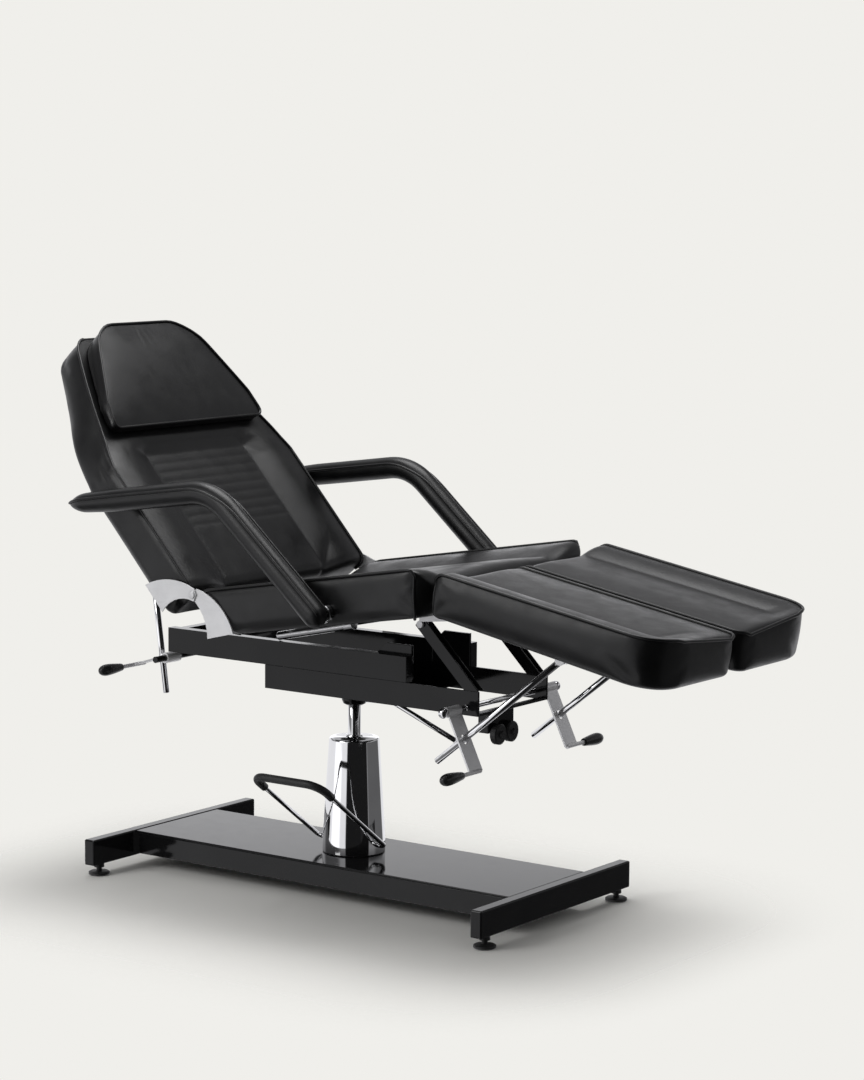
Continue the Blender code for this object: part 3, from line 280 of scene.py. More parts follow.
def write_points(obj, points):
    obj.data.vertices.foreach_set("co", np.asarray(points, np.float32).ravel())
    obj.data.update()


def belts(rings):
    """Quads between each ring of point numbers and the next."""
    count = len(rings[0])
    return [(a[i], a[(i + 1) % count], b[(i + 1) % count], b[i])
            for a, b in zip(rings, rings[1:]) for i in range(count)]


def wrap(first, rows, sides, closed=False):
    """Faces of a tube whose rings are numbered from the first point on, closed on itself or capped."""
    rings = [list(range(first + i * sides, first + (i + 1) * sides)) for i in range(rows)]
    return belts(rings + rings[:1]) if closed else belts(rings) + [rings[0], rings[-1]]


def circle(middle, out, other, radius, sides):
    turns = [2.0 * math.pi * i / sides for i in range(sides)]
    return [middle + (out * math.cos(a) + other * math.sin(a)) * radius for a in turns]


def tube(name, paths, radius, sides=8):
    """Round cords along closed or open paths, in one mesh."""
    verts, faces = [], []
    for path, closed in paths:
        points = [Vector(p) for p in path]
        count, first, side = len(points), len(verts), None
        for i, point in enumerate(points):
            ahead = points[(i + 1) % count] if closed or i < count - 1 else point
            behind = points[i - 1] if closed or i > 0 else point
            run = (ahead - behind).normalized()
            side = run.orthogonal() if side is None else side - run * side.dot(run)
            side = side.normalized()
            verts += circle(point, side, run.cross(side), radius, sides)
        faces += wrap(first, count, sides, closed)
    return solid(name, verts, faces)


def turned(name, forms, sides=48):
    """Turned forms in one mesh; a profile of radius and height pairs that ends where it starts is a ring."""
    verts, faces = [], []
    for profile, origin, axis in forms:
        up = Vector(axis).normalized()
        out = up.orthogonal().normalized()
        other = up.cross(out)
        closed = profile[0] == profile[-1]
        rows = len(profile) - 1 if closed else len(profile)
        faces += wrap(len(verts), rows, sides, closed)
        for radius, height in profile[:rows]:
            verts += circle(Vector(origin) + up * height, out, other, radius, sides)
    return solid(name, verts, faces)


def bent(points, radii, steps=14):
    """A path through points, with a round bend at each inner one."""
    points = [Vector(p) for p in points]
    path = [points[0]]
    for before, corner, after, radius in zip(points, points[1:], points[2:], radii):
        arrive, leave = (corner - before).normalized(), (after - corner).normalized()
        turn = arrive.angle(leave)
        start = corner - arrive * radius * math.tan(turn / 2.0)
        inward = (leave - arrive * leave.dot(arrive)).normalized()
        for i in range(steps + 1):
            a = turn * i / steps
            path.append(start + inward * radius * (1.0 - math.cos(a)) + arrive * radius * math.sin(a))
    return path + [points[-1]]


def hang(obj, body, look, node=None):
    """Hangs a finished piece on its body, and hides the solid that it stands for when one is named."""
    obj.data.materials.append(look)
    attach(obj, body)
    if node:
        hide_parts(node)


# Cushions
PAD_CAP, TOP_CAP, END_CAP = 0.007, 0.004, 0.0012
UNDER_TURNS = (22.5, 45.0, 67.5)


class Pad:
    """A closed cushion of quads: a top and a bottom sheet with a band sewn between their rims."""

    def __init__(self, name, place, edges, top, s_list, t_list, depth, under, band=10, sign=1.0,
                 front_cap=END_CAP, flare=None, belly=0.003):
        self.s, length = s_list, s_list[-1]

        def spot(s, t, k, inset):
            """A point of the cover at a share of its depth; an inset draws the whole outline in."""
            inner, outer = edges(s)
            if flare:
                inner, outer = inner - flare(s, k), outer + flare(s, k)
            x, z = place(mix(s, length / 2.0, 2.0 * max(0.0, inset) / length), k, top(t, s) * k)
            return x, sign * mix(inner + inset, outer - inset, (t + 1.0) / 2.0), z

        rows, cols = len(s_list), len(t_list)
        verts = [spot(s, t, 1.0, 0.0) for s in s_list for t in t_list]
        verts += [spot(s, t, 0.0, under) for s in s_list for t in t_list]
        self.top = np.arange(rows * cols).reshape(rows, cols)
        low = self.top + rows * cols
        rim = [*self.top[0, :-1], *self.top[:-1, -1], *self.top[-1, :0:-1], *self.top[:0:-1, 0]]
        self.rim = [int(i) for i in rim]
        turn = under / depth
        levels = [(mix(1.0, turn, i / band), -belly * hump(i / band)) for i in range(1, band + 1)]
        for angle in (math.radians(a) for a in UNDER_TURNS):
            levels.append((turn * (1.0 - math.sin(angle)), under * (1.0 - math.cos(angle))))
        bands = [self.rim]
        for k, inset in levels:
            bands.append(list(range(len(verts), len(verts) + len(self.rim))))
            verts += [spot(s_list[i // cols], t_list[i % cols], k, inset) for i in self.rim]
        bands.append([i + rows * cols for i in self.rim])
        self.bands = np.array(bands)
        faces = []
        for grid in (self.top, low):
            for i in range(rows - 1):
                for j in range(cols - 1):
                    faces.append((grid[i, j], grid[i, j + 1], grid[i + 1, j + 1], grid[i + 1, j]))
        self.obj = solid(name, verts, faces + belts(bands))
        self.start = read(self.obj)
        self.sewn = set(self.rim)
        self.sew(low.ravel())
        self.cap = np.full((len(verts), 1), PAD_CAP)
        self.cap[self.top.ravel()] = TOP_CAP
        for row, cap in ((0, END_CAP), (-1, front_cap)):
            end_columns = [self.rim.index(int(i)) for i in self.top[row]]
            self.cap[self.bands[1:, end_columns].ravel()] = cap

    def sew(self, ids):
        self.sewn.update(int(i) for i in ids)


def quad_frame(corners):
    """Length and placing function of a pad given by its four side corners."""
    low_rear, low_front, high_rear, high_front = (Vector(c) for c in corners)
    length = (high_front - high_rear).length
    run = (high_front - high_rear).normalized()
    face = Vector((-run[1], run[0]))

    def place(s, k, lift):
        low, high = mix(low_rear, low_front, s / length), mix(high_rear, high_front, s / length)
        point = mix(low, high, k) + face * lift
        return point[0] + AXIS_X, point[1]

    return length, place


# Seat
SEAT_CORNERS = ((-0.099, 0.569), (0.383, 0.649), (-0.176, 0.6535), (0.382, 0.7470))
SEAT_HALF, SEAT_DEPTH, SEAT_UNDER = 0.2960, 0.093, 0.010
SEAT_REAR_CORNER, SEAT_CORNER = 0.020, 0.030
SEAT_REAR_NOSE, SEAT_NOSE = 0.018, 0.034
SEAT_ROLL, SEAT_SINK, SEAT_RIM = 0.58, -0.022, -0.001
SEAT_BOLSTER, SEAT_CROWN, SEAT_SEAM = 0.005, 0.006, 0.013
seat_length, seat_place = quad_frame(SEAT_CORNERS)


def seat_edges(s):
    half = SEAT_HALF - drop(s, seat_length, SEAT_REAR_CORNER, SEAT_CORNER)
    return -half, half


def seat_top(t, s):
    u = abs(t)
    if u > SEAT_ROLL:
        v = (u - SEAT_ROLL) / (1.0 - SEAT_ROLL)
        lift = mix(SEAT_SINK, SEAT_RIM, ease(v)) + SEAT_BOLSTER * hump(v)
    else:
        lift = SEAT_SINK + SEAT_CROWN * math.cos(u / SEAT_ROLL * math.pi / 2.0)
    return lift - drop(s, seat_length, SEAT_REAR_NOSE, SEAT_NOSE)


seat_cross = across(SEAT_ROLL, 0.3)
seat = Pad("seat_upholstery", seat_place, seat_edges, seat_top,
           ends(seat_length, SEAT_REAR_CORNER, SEAT_CORNER), seat_cross, SEAT_DEPTH, SEAT_UNDER)
for roll in (-SEAT_ROLL, SEAT_ROLL):
    seat.sew(seat.top[:, nearest(seat_cross, roll)])

# Leg pads
LEG_CORNERS = ((0.406, 0.6535), (0.920, 0.5527), (0.418, 0.7445), (0.934, 0.6525))
LEG_INNER, LEG_OUTER, LEG_DEPTH, LEG_UNDER = 0.0125, 0.2960, 0.094, 0.013
LEG_REAR_CORNER, LEG_INNER_CORNER, LEG_OUTER_CORNER = 0.014, 0.024, 0.078
LEG_REAR_NOSE, LEG_FRONT_NOSE = 0.024, 0.004
LEG_DISH, LEG_FADE, LEG_SET = 0.018, 0.070, 0.001
LEG_ROLL, LEG_EDGE, LEG_SINK, LEG_RIM = 0.42, 0.86, -0.009, -0.001
LEG_BOLSTER, LEG_CROWN, LEG_SLOPE = 0.006, 0.004, 1.2
LEG_BELLY, LEG_FRONT_CAP, LEG_FREE_ROWS = 0.005, 0.004, 8
leg_length, leg_place = quad_frame(LEG_CORNERS)


def leg_edges(s):
    return (LEG_INNER + drop(s, leg_length, LEG_REAR_CORNER, LEG_INNER_CORNER),
            LEG_OUTER - drop(s, leg_length, LEG_REAR_CORNER, LEG_OUTER_CORNER))


def leg_top(t, s):
    level = mix(0.0, -LEG_DISH, (1.0 - t) / 2.0) - drop(s, leg_length, LEG_REAR_NOSE, LEG_FRONT_NOSE)
    if t > LEG_ROLL:
        v = (t - LEG_ROLL) / (1.0 - LEG_ROLL)
        shape = mix(LEG_SINK, LEG_RIM, ease(v)) + LEG_BOLSTER * hump(v)
    else:
        v = (t + 1.0) / (1.0 + LEG_ROLL)
        shape = LEG_SINK * ease(v * LEG_SLOPE) + LEG_CROWN * hump(v)
    return level + shape * ease((leg_length - s) / LEG_FADE) - LEG_SET


leg_cross = spaced((-1.0, -LEG_EDGE, LEG_ROLL, LEG_EDGE, 1.0), STEP / 0.145)
leg_s = ends(leg_length, LEG_REAR_NOSE, LEG_OUTER_CORNER)
legs = {}
for side, sign in SIDES:
    legs[side] = Pad(f"leg_upholstery_{side}", leg_place, leg_edges, leg_top, leg_s, leg_cross, LEG_DEPTH,
                     LEG_UNDER, sign=sign, front_cap=LEG_FRONT_CAP, belly=LEG_BELLY)
    legs[side].sew(legs[side].top[:-LEG_FREE_ROWS, nearest(leg_cross, LEG_ROLL)])

# Back, with a quilted panel; heights run up the back from its foot
BACK_FOOT, BACK_LEAN = (-0.200, 0.664), math.radians(48.0)
BACK_START, BACK_LENGTH, BACK_DEPTH, BACK_UNDER = -0.012, 0.651, 0.099, 0.016
BACK_THIN_START, BACK_THINNING, BACK_THIN_POWER = 0.260, 0.018, 1.3
BACK_WIDTHS = ((-0.012, 0.310, 0.350, 0.400, 0.460, 0.530, 0.580, 0.630, 0.655),
               (0.2960, 0.2960, 0.2840, 0.2660, 0.2450, 0.2180, 0.1960, 0.1730, 0.1630))
BACK_FOOT_CORNER, BACK_TOP_CORNER = 0.020, 0.035
BACK_FOOT_NOSE, BACK_TOP_NOSE = 0.022, 0.006
BACK_FLARE, BACK_FLARE_HEIGHT, BACK_FLARE_REACH = 0.014, 0.415, 0.075
BACK_ROLL, BACK_SINK, BACK_RIM, BACK_BOLSTER = 0.54, -0.018, -0.002, 0.010
BACK_PANEL, BACK_PANEL_HALF, BACK_SET = -0.013, 0.535, 0.0018
QUILT_FIRST, QUILT_LAST, QUILT_LINES = 0.150, 0.385, 11
QUILT_CAP, QUILT_PRESS = 0.0004, 0.0007
PILLOW_START, PILLOW_CLEAR, PILLOW_RUN_OUT, PILLOW_COVER = 0.395, 0.012, 0.045, 0.006
back_run = BACK_LENGTH - BACK_START
quilt = [mix(QUILT_FIRST, QUILT_LAST, i / (QUILT_LINES - 1)) for i in range(QUILT_LINES)]


def back_spot(rise, front):
    x = BACK_FOOT[0] - rise * math.cos(BACK_LEAN) + front * math.sin(BACK_LEAN)
    return x + AXIS_X, BACK_FOOT[1] + rise * math.sin(BACK_LEAN) + front * math.cos(BACK_LEAN)


def back_place(s, k, lift):
    thin = max(0.0, (s - BACK_THIN_START) / (back_run - BACK_THIN_START)) ** BACK_THIN_POWER
    return back_spot(BACK_START + s, mix(-BACK_DEPTH + BACK_THINNING * thin, 0.0, k) + lift)


def back_edges(s):
    half = float(np.interp(BACK_START + s, *BACK_WIDTHS))
    half -= drop(s, back_run, BACK_FOOT_CORNER, BACK_TOP_CORNER)
    return -half, half


def back_flare(s, k):
    """Extra half width at the rear, where the sides begin to draw in."""
    away = (BACK_START + s - BACK_FLARE_HEIGHT) / BACK_FLARE_REACH
    return BACK_FLARE * (1.0 - k) * math.exp(-away ** 2)


def back_top(t, s):
    u = abs(t)
    shape = BACK_PANEL
    if u > BACK_ROLL:
        v = (u - BACK_ROLL) / (1.0 - BACK_ROLL)
        shape = mix(BACK_SINK, BACK_RIM, ease(v)) + BACK_BOLSTER * hump(v)
    below_pillow = (PILLOW_START - PILLOW_CLEAR - BACK_START - s) / PILLOW_RUN_OUT
    return shape * ease(below_pillow) - BACK_SET - drop(s, back_run, BACK_FOOT_NOSE, BACK_TOP_NOSE)


back_s = ends(back_run, BACK_FOOT_CORNER, BACK_TOP_CORNER, [q - BACK_START for q in quilt])
back_cross = across(BACK_ROLL, 0.29)
back = Pad("back_upholstery", back_place, back_edges, back_top, back_s, back_cross, BACK_DEPTH, BACK_UNDER,
           flare=back_flare)
for roll in (-BACK_ROLL, BACK_ROLL):
    back.sew(back.top[:, nearest(back_cross, roll)])
panel = [j for j, t in enumerate(back_cross) if abs(t) < BACK_PANEL_HALF]
back.cap[back.top[:, panel]] = QUILT_CAP
quilt_ids = []
for row, s in zip(back.top, back_s):
    if min(abs(BACK_START + s - q) for q in quilt) < TINY:
        quilt_ids += [int(i) for i in row[panel]]
    elif BACK_START + s > PILLOW_START - PILLOW_COVER:
        back.sew(row)
back.sew(quilt_ids)

# Head pillow
PILLOW_LENGTH, PILLOW_THICK, PILLOW_UNDER, PILLOW_SEAT = 0.2525, 0.046, 0.004, -0.0004
PILLOW_WIDTHS = ((0.0, 0.060, 0.125, 0.185, 0.235, 0.2625), (0.245, 0.233, 0.204, 0.177, 0.149, 0.137))
PILLOW_WEDGE, PILLOW_WEDGE_RUN, PILLOW_WEDGE_POWER = 0.42, 0.200, 0.8
PILLOW_FOOT_CORNER, PILLOW_TOP_CORNER, PILLOW_EDGE = 0.016, 0.052, 0.90
PILLOW_CROWN, PILLOW_CROWN_POWER, PILLOW_BAND, PILLOW_CAP = 0.005, 0.6, 7, 0.002


def pillow_place(s, k, lift):
    thick = PILLOW_THICK * mix(PILLOW_WEDGE, 1.0, clamp(s / PILLOW_WEDGE_RUN) ** PILLOW_WEDGE_POWER)
    return back_spot(PILLOW_START + s, mix(PILLOW_SEAT, thick, k) + lift)


def pillow_edges(s):
    half = float(np.interp(s, *PILLOW_WIDTHS)) - drop(s, PILLOW_LENGTH, PILLOW_FOOT_CORNER, PILLOW_TOP_CORNER)
    return -half, half


def pillow_top(t, s):
    return PILLOW_CROWN * (1.0 - t * t) * hump(clamp(s / PILLOW_LENGTH)) ** PILLOW_CROWN_POWER


pillow = Pad("pillow_upholstery", pillow_place, pillow_edges, pillow_top,
             ends(PILLOW_LENGTH, PILLOW_FOOT_CORNER, PILLOW_TOP_CORNER),
             spaced((-1.0, -PILLOW_EDGE, PILLOW_EDGE, 1.0), STEP / 0.2), PILLOW_THICK, PILLOW_UNDER,
             band=PILLOW_BAND)
pillow.cap[pillow.top.ravel()] = PILLOW_CAP

# Armrests; distances run along the arm from its pivot end
ARM_Y, ARM_HIGH, ARM_WIDE, ARM_CAP, ARM_RING = 0.3395, 0.0255, 0.0245, 0.0026, 32
ARM_POINTS = ((0.157, 0.638), (-0.106, 0.868), (-0.385, 0.829), (-0.494, 0.814))
ARM_BENDS, ARM_BEND_STEPS = (0.120, 0.40), 12
ARM_ROOT_ROWS = (0.0004, 0.0015, 0.004, 0.008, 0.014, 0.020, ARM_HIGH)
ARM_TIP_ROWS = (0.018, 0.013, 0.009, 0.006, 0.0035, 0.0015, 0.0003)
ARM_ROOT_GAP, ARM_TIP_GAP, ARM_SLACK, ARM_LOOK = 0.006, 0.024, -0.0015, 0.004
ARM_TIP, ARM_TIP_POWER, ARM_TIP_HIGH, ARM_TIP_WIDE = 0.050, 0.62, 0.10, 0.18
ARM_TAPER, ARM_TAPER_HIGH, ARM_TAPER_WIDE = 0.130, 0.80, 0.84
ARM_ROOT_ROUND, ARM_SECTION_POWER = 0.94, 0.90
SEAM_ANGLES, SEAM_START, SEAM_RUN, SEAM_WIDTH = (-44.0, -20.0), 0.285, 0.085, 6.0
ARM_BOARD = (225.0, 315.0)
ARM_CORD_ROWS, ARM_CORD_PROUD = slice(4, -2), 0.0002


class Arm:
    """A padded bar along a bent path, as rings of quads with a seam down each side."""

    def __init__(self, name, sign):
        self.sign = sign
        points = [Vector((x + AXIS_X, 0.0, z)) for x, z in ARM_POINTS]
        points[0] = points[0] + (points[0] - points[1]).normalized() * ARM_HIGH
        path = bent(points, ARM_BENDS, ARM_BEND_STEPS)
        self.lengths = np.cumsum([0.0] + [(b - a).length for a, b in zip(path, path[1:])])
        self.length, self.path = float(self.lengths[-1]), np.array([tuple(p) for p in path])
        middle = spaced((ARM_HIGH + ARM_ROOT_GAP, self.length - ARM_TIP_GAP))
        self.d = [*ARM_ROOT_ROWS, *middle, *(self.length - v for v in ARM_TIP_ROWS)]
        turns = [2.0 * math.pi * (j + 0.5) / ARM_RING for j in range(ARM_RING)]
        verts = [self.spot(d, turn, ARM_SLACK) for d in self.d for turn in turns]
        self.obj = solid(name, verts, wrap(0, len(self.d), ARM_RING))
        self.start = read(self.obj)
        self.sewn = set(range(ARM_RING)) | set(range(len(verts) - ARM_RING, len(verts)))
        self.cap = ARM_CAP
        for i, d in enumerate(self.d):
            low = self.seam(d)
            for j, angle in enumerate(math.degrees(turn) for turn in turns):
                off_seam = min(abs(angle - 360.0 - low), abs(angle - (180.0 - low)))
                if off_seam < SEAM_WIDTH or ARM_BOARD[0] < angle < ARM_BOARD[1]:
                    self.sewn.add(i * ARM_RING + j)

    def seam(self, d):
        """Angle of the side seam below the middle of the section, in degrees."""
        return mix(*SEAM_ANGLES, ease((d - SEAM_START) / SEAM_RUN))

    def along(self, d):
        return Vector([float(np.interp(d, self.lengths, self.path[:, i])) for i in range(3)])

    def spot(self, d, angle, proud):
        run = (self.along(min(d + ARM_LOOK, self.length)) - self.along(max(d - ARM_LOOK, 0.0))).normalized()
        face = Vector((-run.z, 0.0, run.x))
        left = self.length - d
        tip = math.sin(math.pi / 2.0 * clamp(left / ARM_TIP)) ** ARM_TIP_POWER
        taper = clamp(left / ARM_TAPER)
        high = ARM_HIGH * mix(ARM_TAPER_HIGH, 1.0, taper) * max(ARM_TIP_HIGH, tip)
        wide = ARM_WIDE * mix(ARM_TAPER_WIDE, 1.0, taper) * max(ARM_TIP_WIDE, tip)
        if d < ARM_HIGH:
            short = (1.0 - d / ARM_HIGH) ** 2
            high *= math.sqrt(max(0.0, 1.0 - short))
            wide *= math.sqrt(max(0.0, 1.0 - ARM_ROOT_ROUND * short))
        c, n = math.cos(angle), math.sin(angle)
        y = (wide + proud) * math.copysign(abs(c) ** ARM_SECTION_POWER, c)
        lift = max(0.0, high + proud) * math.copysign(abs(n) ** ARM_SECTION_POWER, n)
        return self.along(d) + face * lift + Vector((0.0, self.sign * (ARM_Y + y), 0.0))

    def cords(self):
        lows = [(d, math.radians(self.seam(d))) for d in self.d[ARM_CORD_ROWS]]
        return [([self.spot(d, low, ARM_CORD_PROUD) for d, low in lows], False),
                ([self.spot(d, math.pi - low, ARM_CORD_PROUD) for d, low in lows], False)]


arms = {side: Arm(f"arm_upholstery_{side}", sign) for side, sign in SIDES}

# Filling of the covers
FILL_PRESSURE, FILL_FRAMES, CLOTH_QUALITY, CLOTH_MASS = 4.0, 20, 4, 0.3


def swell(pads):
    """Fills the covers with pressure between their sewn lines, and keeps each point near its start."""
    for pad in pads:
        held = pad.obj.vertex_groups.new(name="sewn")
        held.add([int(i) for i in pad.sewn], 1.0, "REPLACE")
        cloth = pad.obj.modifiers.new("fill", "CLOTH")
        cloth.settings.quality = CLOTH_QUALITY
        cloth.settings.mass = CLOTH_MASS
        cloth.settings.use_pressure = True
        cloth.settings.uniform_pressure_force = FILL_PRESSURE
        cloth.settings.vertex_group_mass = "sewn"
        cloth.settings.effector_weights.gravity = 0.0
        cloth.collision_settings.use_collision = False
        cloth.point_cache.frame_start = 1
        cloth.point_cache.frame_end = FILL_FRAMES
    for number in range(1, FILL_FRAMES + 1):
        scene.frame_set(number)
    graph = bpy.context.evaluated_depsgraph_get()
    for pad in pads:
        filled = pad.obj.evaluated_get(graph).to_mesh()
        points = np.zeros(len(filled.vertices) * 3)
        filled.vertices.foreach_get("co", points)
        move = points.reshape(-1, 3) - pad.start
        far = np.linalg.norm(move, axis=1, keepdims=True)
        move *= pad.cap * np.tanh(far / pad.cap) / np.maximum(far, 1e-9)
        pad.obj.modifiers.clear()
        pad.obj.vertex_groups.clear()
        write_points(pad.obj, pad.start + move)
    scene.frame_set(1)


swell([seat, back, pillow, legs["right"], legs["left"]])
swell([arms["right"], arms["left"]])


# Sewn lines, pulls and flats, after filling
def press(pad, ids, depth):
    """Draws listed points in along the surface's normals."""
    points, normals = read(pad.obj), read(pad.obj, "normal")
    points[ids] -= normals[ids] * depth
    write_points(pad.obj, points)


def flat_sides(pad):
    """Keeps both outer faces no wider than the frame beside them."""
    points = read(pad.obj)
    points[:, 1] = np.clip(points[:, 1], -FRAME_HALF, FRAME_HALF)
    write_points(pad.obj, points)


def pulls(pad, corner, reach, amount, spokes):
    """Short creases in the cover, running out from a sewn corner."""
    ids = np.unique(pad.bands[1:-1].ravel())
    away = read(pad.obj)[ids] - np.array(corner)
    distance = np.linalg.norm(away, axis=1)
    angle = np.arctan2(away[:, 2], away[:, 0])
    shape = np.exp(-((distance - reach * 0.55) / (reach * 0.5)) ** 2) * (0.5 + 0.5 * np.cos(angle * spokes))
    press(pad, ids, (shape * amount)[:, None])


press(back, quilt_ids, QUILT_PRESS)
flat_sides(back)
flat_sides(seat)
for side, sign in SIDES:
    for pad, (x, z), y, reach, amount, spokes in (
        (seat, seat_place(seat_length - 0.004, 0.80, 0.0), FRAME_HALF, 0.050, 0.0016, 9.0),
        (legs[side], leg_place(0.006, 0.85, 0.0), FRAME_HALF, 0.055, 0.0018, 8.0),
        (pillow, pillow_place(0.060, 0.5, 0.0), 0.235, 0.060, 0.0016, 12.0),
    ):
        pulls(pad, (x, sign * y, z), reach, amount, spokes)

# Cords of piping on the sewn edges
PIPING_RADIUS, PIPING_PROUD, ARM_PIPING_RADIUS = 0.0032, 0.0014, 0.0028


def piping(name, body, paths, radius=PIPING_RADIUS):
    hang(tube(name, paths, radius), body, PIPING)


def rim_path(pad, ids):
    return read(pad.obj)[ids] + read(pad.obj, "normal")[ids] * PIPING_PROUD


def side_cord(pad, column, down_rear=True, short=0.0):
    """Points along one long top edge; a cord that stops short of the front goes down the band there."""
    ids = [int(i) for i in pad.top[:, column]]
    places = [pad.rim.index(i) for i in ids]
    if short:
        last = sum(s <= pad.s[-1] - short + TINY for s in pad.s) - 1
        ids = ids[:last] + [int(i) for i in pad.bands[1:, places[last]]]
    if down_rear:
        ids = [int(i) for i in pad.bands[:0:-1, places[0]]] + ids
    return ids


def rim_round(pad, down_rear):
    """Points up one long edge, along the front and back down the other long edge."""
    front = [int(i) for i in pad.top[-1, 1:-1]]
    return side_cord(pad, 0, down_rear) + front + side_cord(pad, -1, down_rear)[::-1]


piping("seat_piping", "seat_frame",
       [(rim_path(seat, side_cord(seat, column, short=SEAT_SEAM)), False) for column in (0, -1)])
for side, leg in legs.items():
    piping(f"leg_piping_{side}", f"leg_{side}", [(rim_path(leg, rim_round(leg, True)), False)])
piping("back_piping", "backrest", [(rim_path(back, rim_round(back, False)), False)])
piping("pillow_piping", "backrest", [(rim_path(pillow, pillow.rim), True)])
for side, arm in arms.items():
    piping(f"arm_piping_{side}", f"arm_{side}", arm.cords(), ARM_PIPING_RADIUS)


def upholster(pad, body, node):
    """Hangs a filled cover in place of its plain solid, with one round of smoothing."""
    hang(pad.obj, body, VINYL, node)
    rounding = pad.obj.modifiers.new("smooth", "SUBSURF")
    rounding.levels = 1
    rounding.render_levels = 1


upholster(seat, "seat_frame", "seat_cushion")
upholster(back, "backrest", "back_cushion")
upholster(pillow, "backrest", "pillow")
for side, sign in SIDES:
    upholster(legs[side], f"leg_{side}", f"leg_pad_{side}")
    upholster(arms[side], f"arm_{side}", f"armrest_{side}")


# Turned and bent metal, finer than the solids it stands for
def chrome(obj, body, node):
    hang(obj, body, FINE_CHROME, node)


def shoulder(radius, height, size, steps=5):
    """Points of a rounded upper edge."""
    turns = [math.pi / 2.0 * i / steps for i in range(steps + 1)]
    return [(radius - size * (1.0 - math.cos(a)), height - size * (1.0 - math.sin(a))) for a in turns]


def at(place, y):
    return Vector((place[0] + AXIS_X, y, place[1]))


# Pump cover and piston, as radius and height pairs
UP, ACROSS, PUMP_FOOT = (0.0, 0.0, 1.0), (0.0, 1.0, 0.0), at((0.0, 0.0), 0.0)
COVER = [(0.0665, 0.0801), (0.0670, 0.0830), (0.0665, 0.1098), (0.0600, 0.2160),
         *shoulder(0.0535, 0.3250, 0.0040), (0.0190, 0.3252), *shoulder(0.0180, 0.3310, 0.0015),
         (0.0139, 0.3310), (0.0139, 0.3000)]
PISTON = [(0.0130, 0.1400), (0.0135, 0.1405), (0.0135, 0.4235), (0.0130, 0.4240)]
chrome(turned("pump_cover_chrome", [(COVER, PUMP_FOOT, UP)], 96), "base", "pump_cover")
chrome(turned("piston_rod_chrome", [(PISTON, PUMP_FOOT, UP)]), "piston", "piston_rod")

# Pedal loop and its grip
PEDAL_AXIS, PEDAL_HALF, PEDAL_INNER = (-0.005, 0.101), 0.088, 0.026
PEDAL_REACH, PEDAL_RISE, GRIP_ARM = 0.285, math.radians(36.0), 0.054
PEDAL_FOOT_BEND, PEDAL_HEAD_BEND, PEDAL_RADIUS, GRIP_RADIUS = 0.014, 0.034, 0.0048, 0.0085
pedal_run = Vector((0.0, -math.cos(PEDAL_RISE), math.sin(PEDAL_RISE)))
loop, sleeve = [], []
for sign in (1.0, -1.0):
    foot = Vector((AXIS_X + sign * PEDAL_HALF, *PEDAL_AXIS))
    head = foot + pedal_run * PEDAL_REACH
    loop.append((Vector((AXIS_X + sign * PEDAL_INNER, *PEDAL_AXIS)), foot, head))
    sleeve.append((head - pedal_run * GRIP_ARM, head))
wire = bent([*loop[0], *loop[1][::-1]], (PEDAL_FOOT_BEND, PEDAL_HEAD_BEND, PEDAL_HEAD_BEND, PEDAL_FOOT_BEND))
chrome(tube("pedal_bar_chrome", [(wire, False)], PEDAL_RADIUS, 20), "pedal", "pedal_bar")
grip = bent([*sleeve[0], *sleeve[1][::-1]], (PEDAL_HEAD_BEND, PEDAL_HEAD_BEND))
hang(tube("pedal_grip_rubber", [(grip, False)], GRIP_RADIUS, 24), "pedal", RUBBER,
     "pedal_grip")

# Brake lever
LEVER_POINTS, LEVER_BEND, LEVER_RADIUS = ((0.0273, 0.4075), (0.100, 0.411), (0.262, 0.348)), 0.030, 0.0055
lever = bent([at(point, 0.0) for point in LEVER_POINTS], (LEVER_BEND,))
chrome(tube("brake_lever_chrome", [(lever, False)], LEVER_RADIUS, 20), "brake", "brake_lever")

# Jam rods: the eye's place, a point that the rod passes through, its length and its Y
ROD_RADIUS, ROD_START, ROD_CHAMFER = 0.0070, 0.006, 0.001
EYE_RADIUS, EYE_BORE, EYE_HALF = 0.0105, 0.0047, 0.0080
EYE_RING = [(EYE_BORE, -EYE_HALF), (EYE_RADIUS - ROD_CHAMFER, -EYE_HALF),
            (EYE_RADIUS, -EYE_HALF + ROD_CHAMFER), (EYE_RADIUS, EYE_HALF - ROD_CHAMFER),
            (EYE_RADIUS - ROD_CHAMFER, EYE_HALF), (EYE_BORE, EYE_HALF), (EYE_BORE, -EYE_HALF)]
JAM_RODS = (
    ("leg_rod_right", (0.636, 0.5786), (0.404, 0.3935), 0.3805, -0.173),
    ("leg_rod_left", (0.636, 0.5786), (0.404, 0.3935), 0.3805, 0.173),
    ("back_rod", (-0.487, 0.749), (-0.447, 0.463), 0.367, -0.100),
)
for rod, eye, through, reach, y in JAM_RODS:
    bar = [(ROD_RADIUS, ROD_START), (ROD_RADIUS, reach - ROD_CHAMFER), (ROD_RADIUS - ROD_CHAMFER, reach)]
    forms = [(bar, at(eye, y), at(through, y) - at(eye, y)), (EYE_RING, at(eye, y), ACROSS)]
    chrome(turned(f"{rod}_chrome", forms), rod, rod)

